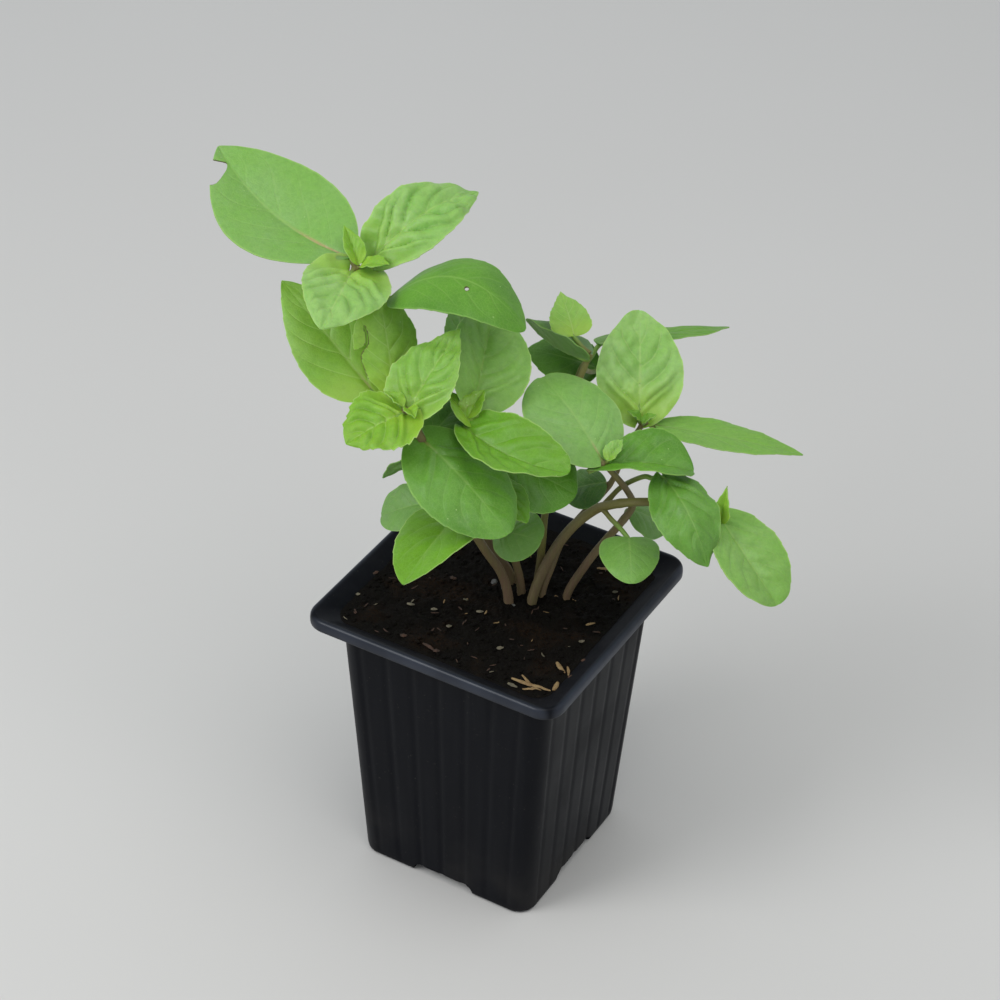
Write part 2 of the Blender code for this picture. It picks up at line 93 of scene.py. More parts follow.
# Pot sections from the middle of the underside, out and up, over the rim and down inside:
# half width, corner radius, height, share of the groove depth
POT_SECTIONS = (
    (29.6, 4.8, 0.0, 0.0),
    (30.4, 5.3, 0.08, 0.0),
    (31.1, 5.9, 0.38, 0.0),
    (31.6, 6.4, 0.95, 0.0),
    (31.75, 6.5, 1.7, 0.0),
    (31.82, 6.5, 2.6, 0.3),
    (31.9, 6.5, 3.6, 1.0),
    (34.3, 6.7, 45.0, 1.0),
    (37.25, 7.0, 94.3, 1.0),
    (37.42, 7.0, 97.4, 0.25),
    (37.55, 7.0, 98.6, 0.0),
    (37.9, 7.2, 98.9, 0.0),
    (44.1, 6.3, 98.9, 0.0),
    (44.6, 6.8, 99.05, 0.0),
    (44.95, 7.15, 99.5, 0.0),
    (45.0, 7.2, 100.2, 0.0),
    (45.0, 7.2, 101.0, 0.0),
    (44.93, 7.13, 101.7, 0.0),
    (44.7, 6.9, 102.3, 0.0),
    (44.3, 6.5, 102.75, 0.0),
    (43.8, 6.0, 102.98, 0.0),
    (43.2, 5.6, 102.9, 0.0),
    (41.0, 5.8, 101.75, 0.0),
    (38.9, 6.0, 100.7, 0.0),
    (37.6, 6.0, 99.9, 0.0),
    (36.75, 5.9, 99.0, 0.0),
    (36.3, 5.8, 97.2, 0.0),
    (33.2, 5.5, 50.0, 0.0),
    (30.5, 5.2, 2.0, 0.0),
)
GROOVES_A_SIDE = 7
GROOVE_SPREAD = 0.96
GROOVE_HALF_WIDTH = 1.7
GROOVE_END = 0.6
POT_POINTS_A_SIDE = 79
POT_POINTS_A_CORNER = 14
ARCH_WIDTH = 23.0
ARCH_HEIGHT = 3.8
ARCH_INNER_END = 24.8
ARCH_OUTER_END = 34.0
ARCH_WALL_END = 31.0
ARCH_WALL_FOOT = 0.6
ARCH_SHOULDER = 3.4
WALL = 1.2
DRAIN_RADIUS = 2.2
DRAIN_FROM_CENTRE = 27.6

# Soil: half width and corner radius of its edge, and of its sides further down, with their height
SOIL_EDGE = (38.25, 5.8)
SOIL_SIDES = ((37.1, 5.8, 99.6), (36.3, 5.6, 98.6), (35.9, 5.5, 96.0), (30.4, 5.0, 5.5))
SOIL_SURFACE = 100.3
SOIL_RINGS = 84
SOIL_POINTS_A_SIDE = 66
SOIL_POINTS_A_CORNER = 12
CRUMB_FIELD = 37.2
CRUMB_STRETCH = (1.0, 0.85, 0.7)
BIT_FIELD = 36.5
BIT_LIMIT = 37.3
SMALL_BITS = 80

# Colours that go with the ones that the user sets: patches, flecks, streaks and worn places
LEAF_PATCH = (0.17, 0.42, 0.025)
LEAF_FLECK = (0.04, 0.14, 0.006)
LEAF_FOLD_SHADE = (0.075, 0.25, 0.012)
LEAF_FOOT = (0.36, 0.56, 0.045)
LEAF_SPECK = (0.55, 0.68, 0.32)
LEAF_WOUND = (0.10, 0.075, 0.02)
STEM_STREAK = (0.19, 0.2, 0.06)
PLASTIC_SCUFF = (0.0085, 0.009, 0.0115)
PLASTIC_SHEEN = (0.72, 0.82, 1.0, 1.0)
SOIL_FLECK = (0.022, 0.013, 0.007)
BIT_SHADOW = (0.03, 0.02, 0.012)
FLOOR_PATCH = (0.55, 0.53, 0.5)
SKY_COLOUR = (0.90, 0.95, 1.0, 1.0)

# Where the painted highlight lies along the rim: from how far out and how high up, in metres
RIM_HIGHLIGHT_REACH = (0.0425, 0.0445)
RIM_HIGHLIGHT_HEIGHT = (0.0985, 0.1005)

# The photograph's view: turn, tilt and lean in degrees, lens in millimetres, place in metres
CAMERA_TURN = 29.17
CAMERA_TILT = 36.77
CAMERA_LEAN = 1.91
CAMERA_LENS = 102.93
CAMERA_PLACE = (0.34354, -0.61678, 0.66491)


class Leaf(NamedTuple):
    """One blade, in millimetres: where it lies, how it folds, and how it has aged. On some leaves the age
    and paleness also paint light and shade: darker where they lie in shade, paler where they show sheen or
    lie lit.
    """

    base: tuple
    tip: tuple
    width: float
    roll: float = 0.0
    fold: float = 12.0
    arch: float = 0.06
    bend: float = 0.0
    swell: float = 0.55
    taper: float = 0.8
    heart: float = 0.0
    lean: float = 0.0
    stalk: tuple = ()
    age: float = 0.45
    pale: float = 0.0
    quilt: float = 0.16
    teeth: float = 0.28
    wave: float = 0.5
    blush: float = 0.0
    cuts: tuple = ()


class Shoot(NamedTuple):
    """One stem: its thickness, the line of its axis out of the soil, its purple tint and its leaves."""

    node: str
    radius: float
    purple: float
    route: tuple
    leaves: tuple


# Corners of the cuts through three leaves, in millimetres along and aside of the midrib
BITE = (
    (58, -5), (56.5, -3.5), (55, -1.5), (54.3, -0.5), (52.8, -1.3), (51.8, -2.6), (50.8, -4.5),
    (49.9, -6.2), (49.3, -8.6), (50.6, -10.9), (52.5, -15), (60, -12),
)
TEAR = (
    (17, -15), (16.5, -10), (17, -8), (18, -6.5), (20, -6), (22, -6.1), (23.5, -6.4), (23.7, -5.9),
    (22, -5.5), (20, -5.2), (17.7, -5.7), (16, -7.6), (14, -8.4), (10.5, -7.8), (6.5, -6.8),
    (3.5, -6), (2, -9), (9, -16),
)
HOLE = (
    (25.2, 2.9), (25.8, 2.3), (26.5, 2.7), (26.5, 3.5), (25.9, 3.9), (25.3, 3.6),
)

SHOOTS = (
    Shoot(
        "leafy_stem_tall_left",
        radius=1.5,
        purple=0.5,
        route=((0, 8, 88), (0, 8, 101), (-4, 4, 113), (-11, -1, 129), (-23, -5, 147), (-29, -5, 157),
            (-35, -5, 166), (-40, 0, 174), (-45, 4, 183), (-48, 5, 191), (-52, 3, 198), (-54, 1, 203)),
        leaves=(
            Leaf((-57, 3.5, 204), (-114.5, 16.5, 218.5), 40, roll=-17, fold=20, lean=-4, arch=-0.045,
                bend=-0.07, swell=0.72, taper=0.88, age=0.62, pale=0.52, teeth=0.1, wave=0.3, blush=1.0,
                cuts=(BITE,)),
            Leaf((-52.5, 6.5, 202.5), (-36, 43, 214), 25, roll=14, arch=0.2, taper=0.9, heart=0.06,
                bend=0.03, age=0.32, pale=0.72, quilt=1.5, teeth=0.35),
            Leaf((-54, -1, 203), (-45, -32, 202), 27, fold=8, lean=11, arch=0.08, swell=0.42, heart=0.26,
                bend=-0.04, age=0.22, pale=0.72, quilt=1.15),
            Leaf((-40.7, -1, 197.5), (3, 5.5, 198), 27, roll=15, fold=-4, lean=9, arch=0.25, bend=-0.1,
                taper=0.65, age=0.64, quilt=0.12, cuts=(HOLE,)),
            Leaf((-37.5, -13, 170), (-77, -5, 193.5), 27, roll=-25, fold=8, arch=0.02, taper=0.95, age=0.22,
                pale=0.16, quilt=0.25, blush=0.5),
            Leaf((-31, -13, 171), (-43, -2.5, 197), 20, fold=-8, arch=0.05, swell=0.85, taper=0.6, age=0.06,
                pale=0.2, quilt=0.4, cuts=(TEAR,)),
            Leaf((-53, 1, 204), (-62, 7, 212), 8, fold=35, taper=1.1, age=0.26, quilt=0.5),
            Leaf((-52, 1, 204), (-43, 3, 206.5), 8, fold=25, taper=1.0, age=0.26, quilt=0.5),
        ),
    ),
    Shoot(
        "leafy_stem_front_left",
        radius=1.6,
        purple=0.8,
        route=((4, -1, 88), (4, -1, 101), (2, -3, 112), (-2, -8, 124), (-8, -16, 145), (-14, -24, 168),
            (-17, -25, 175), (-20, -26, 179)),
        leaves=(
            Leaf((-12.5, -25, 169.5), (21, -33, 154), 29, roll=12, fold=-7, swell=0.45, taper=0.62,
                heart=0.14, age=0.68, pale=0.06, quilt=0.5),
            Leaf((-2, -14, 145), (0, -58, 143), 27, roll=-4, lean=-18, age=0.5, quilt=0.22),
            Leaf((-19.5, -25.5, 177.5), (-16, 0, 195), 23, roll=16, fold=14, lean=14, taper=1.15, heart=0.1,
                age=0.36, pale=0.3, quilt=1.0, teeth=0.5),
            Leaf((-19, -26.5, 179), (-28, -45, 175), 24, roll=-12, swell=0.45, heart=0.2, age=0.22,
                quilt=1.1, teeth=0.8, wave=1.2),
            Leaf((-15, -18, 142), (-30, -22, 133), 16, roll=-30, fold=14, taper=0.5, age=0.85, pale=0.4,
                quilt=0.04, teeth=0.06),
            Leaf((-19, -17, 156), (-31, -20, 146), 7, roll=50, fold=10, age=0.9),
            Leaf((-14, -21, 167), (-13, 0, 171), 16, fold=5, age=0.9, quilt=0.04),
            Leaf((-18.5, -26, 180), (-14, -29, 180), 6, fold=40, taper=1.1, age=0.24),
            Leaf((-20, -26, 180), (-27, -26, 183), 6, fold=42, taper=1.1, age=0.24),
        ),
    ),
    Shoot(
        "leafy_stem_front_middle",
        radius=1.4,
        purple=0.7,
        route=((5.5, 4.5, 88), (5.5, 4.5, 101), (5, 2, 112), (4, -2, 123), (1, -7, 142), (-2, -10, 160),
            (-3, -14, 171)),
        leaves=(
            Leaf((-6, -14.5, 172), (30, -14, 168), 27, roll=6, fold=30, arch=0.02, bend=0.11, taper=0.62,
                heart=0.06, age=0.52, quilt=0.7, wave=0.8),
            Leaf((-6.5, -7, 174), (-16.5, 21.5, 191), 30.5, roll=19, fold=23, lean=-15, bend=-0.02,
                heart=0.08, age=0.46, pale=0.42, quilt=0.6),
            # Painted light: this leaf is made youngest and palest so it looks lit where it lies in the shade
            # of the leaf above
            Leaf((-11, 0, 176), (-29.5, 20, 189), 14, fold=10, age=0.0, pale=1.0),
            Leaf((-3, -14, 172), (-15, -10, 178), 9, fold=32, taper=1.0, age=0.28, quilt=0.3, teeth=0.4),
            Leaf((-6, -13, 173.5), (-5, -4, 179), 9, fold=30, taper=1.0, age=0.28, quilt=0.3, teeth=0.4),
            Leaf((2, -3, 155), (24, 3, 147), 25, roll=25, fold=4, taper=0.6, age=0.7, quilt=0.06),
            Leaf((1, -12, 154), (21, -22, 151), 13, fold=8, age=0.5),
            Leaf((0, -4, 128), (16, -3, 130), 18, roll=25, fold=0, taper=0.5, age=0.85, pale=0.45,
                teeth=0.05),
        ),
    ),
    Shoot(
        "leafy_stem_middle",
        radius=1.3,
        purple=0.75,
        route=((19, 10, 88), (19, 10, 101), (24, 12, 114), (29, 14, 124), (34, 15, 133), (37, 16, 140),
            (36, 14, 146), (34, 10, 153), (31, 7, 159)),
        leaves=(
            Leaf((30, 7, 160), (2, 19, 173), 31, fold=4, swell=0.5, taper=0.5, heart=0.06, age=0.58,
                pale=0.6, quilt=0.26, teeth=0.1, blush=0.55),
            Leaf((27, 3, 157.5), (54.5, 20.5, 156.5), 26, roll=2, fold=33, bend=-0.06, swell=1.0, taper=0.5,
                age=0.68, quilt=0.45),
            Leaf((32.2, 6.4, 160.8), (33.5, 13.5, 165), 6.5, fold=34, taper=1.0, age=0.3, pale=0.6,
                quilt=0.5),
            Leaf((33, 21, 134), (44, 26, 128), 18, fold=0, taper=0.5, age=0.72, pale=0.4, quilt=0.05,
                teeth=0.05),
        ),
    ),
    Shoot(
        "leafy_stem_right_back",
        radius=1.1,
        purple=0.6,
        route=((11.8, 7, 88), (11.8, 7, 101), (13.1, 9.9, 110), (14.2, 13.9, 118), (17, 18.7, 125),
            (21.4, 25.2, 132), (24, 28, 138), (26, 32, 148), (29, 36, 156)),
        leaves=(
            Leaf((28, 35, 156.5), (15, 57, 181), 27.5, fold=10, taper=0.75, heart=0.06, age=0.1, pale=0.8,
                quilt=1.05, teeth=0.12, wave=1.0),
            Leaf((32.5, 37, 156), (74.5, 57, 148.5), 15, roll=2, fold=10, arch=0.02, taper=0.9, age=0.5,
                pale=0.3),
            Leaf((29, 34, 158), (25, 32.5, 161), 4.5, fold=30, taper=1.0, age=0.5),
            Leaf((30, 33, 158), (33.5, 35.5, 161), 4.5, fold=30, taper=1.0, age=0.5),
            Leaf((22, 27, 136), (11, 20, 132), 17, roll=-10, fold=0, taper=0.5, age=1.0, quilt=0.04,
                teeth=0.04),
        ),
    ),
    Shoot(
        "leafy_stem_right",
        radius=1.6,
        purple=0.3,
        route=((10.5, 3, 88), (10.5, 3, 101), (14, 6, 116), (20, 8, 129), (27, 10, 138), (33, 9, 143),
            (39, 9.6, 146), (46, 14, 146), (56, 17, 146), (62, 19, 145)),
        leaves=(
            Leaf((46, 16, 155), (70.5, 1, 140), 20, roll=10, fold=-8, arch=0.2, swell=0.65, heart=0.06,
                stalk=((30, 9.5, 140.8), (32.7, 15.7, 145.4), (39.8, 15.6, 152.2)), age=0.7, pale=0.1,
                quilt=0.7, wave=1.3),
            Leaf((63, 20, 146), (90.5, 9.5, 128), 26, roll=8, fold=18, lean=12, bend=0.03, taper=0.5,
                age=0.43, pale=0.45, quilt=0.45),
            Leaf((66.8, 15.6, 145.6), (66, 20, 156.4), 7, fold=38, swell=0.45, taper=1.3, age=0.2),
            Leaf((66.4, 15.4, 145.8), (60.6, 15.4, 150.4), 5, fold=38, taper=1.1, age=0.35),
            Leaf((41, 6.5, 135.5), (50, -8, 131), 18.5, fold=-5, swell=0.2, taper=0.58, heart=0.06,
                stalk=((30, 9.5, 140.2), (33.5, 8.2, 138.6), (37.2, 7.6, 136.8)), age=0.7, pale=0.4,
                quilt=0.05, teeth=0.05),
        ),
    ),
    Shoot(
        "leafy_stem_back",
        radius=1.3,
        purple=0.0,
        route=((8.5, 9.5, 88), (8.5, 9.5, 101), (10, 8, 112), (11, 7, 122), (10, 10, 131), (9, 17, 147),
            (9, 26, 163), (10, 34, 176)),
        leaves=(
            Leaf((4.2, 34.5, 180), (-7.4, 46, 186), 13.5, fold=8, swell=0.42, taper=1.1, age=0.16,
                pale=0.4),
            # Painted shade: this leaf is made old and dark to paint the shade it lies in
            Leaf((11, 32.5, 175.5), (-11, 31, 183), 27, fold=29, lean=-32, arch=-0.12, age=0.95,
                quilt=0.06),
            Leaf((5.6, 47.2, 170.9), (34.5, 82.5, 167.5), 20, roll=-22, fold=8, arch=0.01, swell=0.4,
                stalk=((9, 26, 163), (5, 38, 166)), age=0.6),
            Leaf((8.5, 44.5, 163.7), (-13.4, 36.8, 167.5), 18, roll=-25, fold=0, age=0.78, quilt=0.05),
        ),
    ),
)

# Larger bits that lie on the soil: kind, two ends in millimetres across the soil, width
BITS = (
    ("straw", (24, -33.4), (37, -32.2), 1.5),
    ("straw", (32, -19.5), (36.6, -22.6), 1.5),
    ("straw", (26, -30.4), (32.6, -34.6), 1.0),
    ("straw", (29.4, -36.2), (34.6, -33.8), 0.9),
    ("straw", (35.8, -19.6), (38.2, -23.4), 0.9),
    ("straw", (37.6, -31.6), (36.8, -27.2), 1.6),
    ("pale", (24.2, -36), (27.6, -36.2), 1.3),
    ("bark", (38.6, -24.2), (40, -21.2), 1.2),
    ("pale", (-22, -19.6), (-19.6, -18.8), 1.3),
    ("pale", (-38, -24.4), (-36.9, -23.6), 1.2),
    ("bark", (-39, -13), (-38.2, -10.8), 1.3),
    ("pale", (-14.2, -18), (-12.4, -17), 1.1),
    ("pale", (-5.8, -22.6), (-4.4, -21.6), 1.2),
    ("bark", (-3, -35), (-1.2, -34), 1.4),
    ("bark", (-7.5, -33.6), (-2.8, -34.8), 1.2),
    ("pale", (13, -23.6), (14.6, -22.2), 1.4),
    ("pale", (-1.6, -11.4), (0.4, -10.2), 1.1),
    ("bark", (-17.2, -1.4), (-15.4, -0.4), 1.5),
    ("stone", (-5.2, 3.2), (-2.8, 4.8), 1.6),
    ("stone", (-1, 2.4), (1, 3.4), 1.4),
    ("stone", (5.6, -2), (6.8, -1), 1.1),
    ("straw", (30.9, 1), (32.8, 3.4), 1.0),
    ("pale", (33, -7.4), (34.2, -6), 1.2),
    ("bark", (38.2, -15.2), (39, -13.8), 1.2),
    ("bark", (-15.6, -34), (-13.6, -33), 1.5),
    ("pale", (-7.6, -9.2), (-6.4, -8.2), 1.0),
    ("straw", (20, 28), (28, 33), 1.3),
    ("pale", (-20, 24), (-18.6, 25.4), 1.3),
    ("bark", (-30, 10), (-26, 13), 1.6),
    ("straw", (-12, 33), (-5, 31), 1.1),
    ("pale", (30, 20), (31.4, 21), 1.2),
)


class LeafLook(bpy.types.PropertyGroup):
    thickness: bpy.props.FloatProperty(
        name="Blade thickness", description="Thickness of a leaf blade between its veins",
        default=0.42 * MM, min=0.1 * MM, max=1.0 * MM, unit="LENGTH", precision=5,
    )
    young: bpy.props.FloatVectorProperty(
        name="Young leaf", description="Colour of the newest leaves", default=(0.30, 0.52, 0.035), min=0.0,
        max=1.0, subtype="COLOR",
    )
    grown: bpy.props.FloatVectorProperty(
        name="Grown leaf", description="Colour of a full-sized leaf", default=(0.095, 0.275, 0.010),
        min=0.0, max=1.0, subtype="COLOR",
    )
    old: bpy.props.FloatVectorProperty(
        name="Old leaf", description="Colour of the oldest, lowest leaves", default=(0.075, 0.165, 0.045),
        min=0.0, max=1.0, subtype="COLOR",
    )
    pale: bpy.props.FloatVectorProperty(
        name="Pale leaf", description="Colour that a pale leaf leans towards", default=(0.34, 0.56, 0.19),
        min=0.0, max=1.0, subtype="COLOR",
    )
    vein: bpy.props.FloatVectorProperty(
        name="Veins and margin", description="Colour of the midrib, the side veins and the thin edge",
        default=(0.44, 0.62, 0.19), min=0.0, max=1.0, subtype="COLOR",
    )
    blush: bpy.props.FloatVectorProperty(
        name="Blush", description="Pink at the foot of some midribs", default=(0.52, 0.30, 0.18), min=0.0,
        max=1.0, subtype="COLOR",
    )
    underside: bpy.props.FloatVectorProperty(
        name="Underside", description="Colour of the underside of a blade", default=(0.20, 0.36, 0.10),
        min=0.0, max=1.0, subtype="COLOR",
    )


class StemLook(bpy.types.PropertyGroup):
    green: bpy.props.FloatVectorProperty(
        name="Green stem", description="Colour of the young, upper part of a stem",
        default=(0.155, 0.15, 0.033), min=0.0, max=1.0, subtype="COLOR",
    )
    brown: bpy.props.FloatVectorProperty(
        name="Woody stem", description="Colour of a stem near the soil", default=(0.15, 0.117, 0.058),
        min=0.0, max=1.0, subtype="COLOR",
    )
    stalk: bpy.props.FloatVectorProperty(
        name="Leaf stalk", description="Colour of the leaf stalks", default=(0.20, 0.38, 0.06), min=0.0,
        max=1.0, subtype="COLOR",
    )
    purple: bpy.props.FloatVectorProperty(
        name="Flushed stem", description="Colour where a stem is flushed with purple",
        default=(0.19, 0.115, 0.075), min=0.0, max=1.0, subtype="COLOR",
    )


class PotLook(bpy.types.PropertyGroup):
    plastic: bpy.props.FloatVectorProperty(
        name="Plastic", description="Colour of the pot", default=(0.0045, 0.005, 0.0072), min=0.0, max=1.0,
        subtype="COLOR",
    )
    dust: bpy.props.FloatVectorProperty(
        name="Dust", description="Colour of the dust on the pot", default=(0.11, 0.10, 0.085), min=0.0,
        max=1.0, subtype="COLOR",
    )
    # Painted highlight: a paler bluish colour along the rim's outer bead
    rim_highlight: bpy.props.FloatVectorProperty(
        name="Rubbed rim", description="Colour of the rim where handling has rubbed it paler",
        default=(0.030, 0.034, 0.045), min=0.0, max=1.0, subtype="COLOR",
    )
    groove: bpy.props.FloatProperty(
        name="Groove depth", description="Depth of the upright grooves in the sides", default=0.3 * MM,
        min=0.0, max=1.0 * MM, unit="LENGTH", precision=5,
    )


class SoilLook(bpy.types.PropertyGroup):
    dark: bpy.props.FloatVectorProperty(
        name="Dark soil", description="Colour of the damp soil", default=(0.0042, 0.0032, 0.0022), min=0.0,
        max=1.0, subtype="COLOR",
    )
    brown: bpy.props.FloatVectorProperty(
        name="Brown soil", description="Colour of the drier, redder patches",
        default=(0.020, 0.010, 0.0045), min=0.0, max=1.0, subtype="COLOR",
    )
    straw: bpy.props.FloatVectorProperty(
        name="Straw", description="Colour of the wood fibres on the soil", default=(0.30, 0.20, 0.085),
        min=0.0, max=1.0, subtype="COLOR",
    )
    lump: bpy.props.FloatProperty(
        name="Lump height", description="Height of the lumps in the soil", default=0.9 * MM, min=0.0,
        max=2.0 * MM, unit="LENGTH", precision=5,
    )
    crumbs: bpy.props.IntProperty(
        name="Crumbs", description="Number of loose crumbs on the soil", default=1400, min=0, max=2500,
    )


class StageLook(bpy.types.PropertyGroup):
    floor: bpy.props.FloatVectorProperty(
        name="Floor", description="Colour of the plain floor", default=(0.66, 0.645, 0.62), min=0.0,
        max=1.0, subtype="COLOR",
    )
    sky: bpy.props.FloatProperty(
        name="Sky light", description="Strength of the light from all round", default=0.62, min=0.0,
        max=5.0,
    )
    key: bpy.props.FloatProperty(
        name="Key light", description="Power of the large soft light in watts", default=5.5, min=0.0,
        max=200.0,
    )


class Nodes:
    """Short ways to add nodes to one node tree and join them."""

    def __init__(self, tree):
        self.tree = tree

    def put(self, value, socket):
        if isinstance(value, bpy.types.NodeSocket):
            self.tree.links.new(value, socket)
        elif socket.type == "RGBA":
            socket.default_value = (*value, 1.0)
        else:
            socket.default_value = value

    def add(self, kind, values=None, **settings):
        node = self.tree.nodes.new(kind)
        for key, value in settings.items():
            setattr(node, key, value)
        for key, value in (values or {}).items():
            self.put(value, node.inputs[key])
        return node

    def math(self, operation, first, second=None, third=None, clamp=False):
        node = self.add("ShaderNodeMath", operation=operation, use_clamp=clamp)
        for index, value in enumerate((first, second, third)):
            if value is not None:
                self.put(value, node.inputs[index])
        return node.outputs[0]

    def times(self, first, second, clamp=False):
        return self.math("MULTIPLY", first, second, clamp=clamp)

    def most(self, first, second, clamp=False):
        return self.math("MAXIMUM", first, second, clamp=clamp)

    def parts(self, vector):
        return self.add("ShaderNodeSeparateXYZ", {"Vector": vector}).outputs

    def mix(self, factor, first, second):
        node = self.add("ShaderNodeMix", data_type="RGBA")
        self.put(factor, node.inputs[0])
        self.put(first, node.inputs[6])
        self.put(second, node.inputs[7])
        return node.outputs[2]

    def span(self, value, low, high, start=0.0, end=1.0):
        """Maps low to high onto start to end, smoothly and no further."""
        node = self.add("ShaderNodeMapRange", interpolation_type="SMOOTHSTEP")
        self.put(value, node.inputs[0])
        for index, number in enumerate((low, high, start, end)):
            node.inputs[index + 1].default_value = number
        return node.outputs[0]

    def noise(self, where, scale, detail, rough=0.55):
        values = {"Vector": where, "Scale": scale, "Detail": detail, "Roughness": rough}
        return self.add("ShaderNodeTexNoise", values).outputs[0]

    def cells(self, where, scale, feature="DISTANCE_TO_EDGE"):
        node = self.add("ShaderNodeTexVoronoi", {"Vector": where, "Scale": scale}, feature=feature)
        return node.outputs["Distance"]

    def group(self, name, **values):
        node = self.add("ShaderNodeGroup", node_tree=bpy.data.node_groups[name])
        for key, value in values.items():
            self.put(value, node.inputs[key])
        return node.outputs

    def place(self):
        return self.add("ShaderNodeTexCoord").outputs["Object"]

    def tones(self):
        """The piece's own tone: its three channels and its alpha."""
        tone = self.add("ShaderNodeAttribute", attribute_name="tone")
        channels = self.add("ShaderNodeSeparateColor", {"Color": tone.outputs["Color"]}).outputs
        return channels[0], channels[1], channels[2], tone.outputs["Alpha"]


def new_group(name, inputs, outputs):
    """An empty shader node group with named sockets."""
    tree = bpy.data.node_groups.new(name, "ShaderNodeTree")
    for socket, kind, value in inputs:
        made = tree.interface.new_socket(name=socket, in_out="INPUT", socket_type=kind)
        if value is not None:
            made.default_value = value
    for socket, kind in outputs:
        tree.interface.new_socket(name=socket, in_out="OUTPUT", socket_type=kind)
    nodes = Nodes(tree)
    return nodes, nodes.add("NodeGroupInput").outputs, nodes.add("NodeGroupOutput").inputs


def make_vein_group():
    """Masks for the midrib, side veins and margin, from a blade's two UV maps."""
    nodes, given, result = new_group(
        "Leaf veins",
        [("Blade", "NodeSocketVector", None), ("Count", "NodeSocketVector", None)],
        [("Midrib", "NodeSocketFloat"), ("Side veins", "NodeSocketFloat"), ("Margin", "NodeSocketFloat")],
    )
    along, aside, _ = nodes.parts(given["Blade"])
    across = nodes.math("ABSOLUTE", nodes.math("MULTIPLY_ADD", aside, 2.0, -1.0))
    phase, start, _ = nodes.parts(given["Count"])
    away = nodes.math("ABSOLUTE", nodes.math("SUBTRACT", phase, nodes.math("ROUND", phase)))
    side = nodes.times(nodes.span(away, 0.01, 0.07, 1.0, 0.0), nodes.span(start, 0.01, 0.05))
    fade = nodes.span(across, 0.55, 0.97, 1.0, 0.0)
    tip_fade = nodes.span(along, 0.7, 0.98, 1.0, 0.15)
    nodes.put(nodes.times(nodes.times(side, fade), tip_fade), result["Side veins"])
    width = nodes.span(along, 0.0, 1.0, 0.06, 0.025)
    rib = nodes.math("SUBTRACT", 1.0, nodes.math("DIVIDE", across, width), clamp=True)
    nodes.put(nodes.times(rib, nodes.span(along, 0.6, 1.0, 1.0, 0.35)), result["Midrib"])
    nodes.put(nodes.span(across, 0.955, 0.995), result["Margin"])


def make_mottle_group():
    """Slow and fine unevenness, for colour and for roughness."""
    nodes, given, result = new_group(
        "Mottle",
        [("Place", "NodeSocketVector", None), ("Size", "NodeSocketFloat", 100.0)],
        [("Slow", "NodeSocketFloat"), ("Fine", "NodeSocketFloat")],
    )
    nodes.put(nodes.noise(given["Place"], given["Size"], 3.0, 0.5), result["Slow"])
    nodes.put(nodes.noise(given["Place"], nodes.times(given["Size"], 9.0), 2.0, 0.6), result["Fine"])


def new_material(name):
    """A material with its Principled shader, and a helper for its nodes."""
    material = bpy.data.materials.new(name)
    material.use_nodes = True
    nodes = Nodes(material.node_tree)
    return material, nodes, material.node_tree.nodes["Principled BSDF"]


def set_bump(nodes, shader, height, distance, strength):
    """Fine relief that feeds the shader's normal."""
    values = {"Height": height, "Distance": distance, "Strength": strength}
    nodes.put(nodes.add("ShaderNodeBump", values).outputs[0], shader.inputs["Normal"])


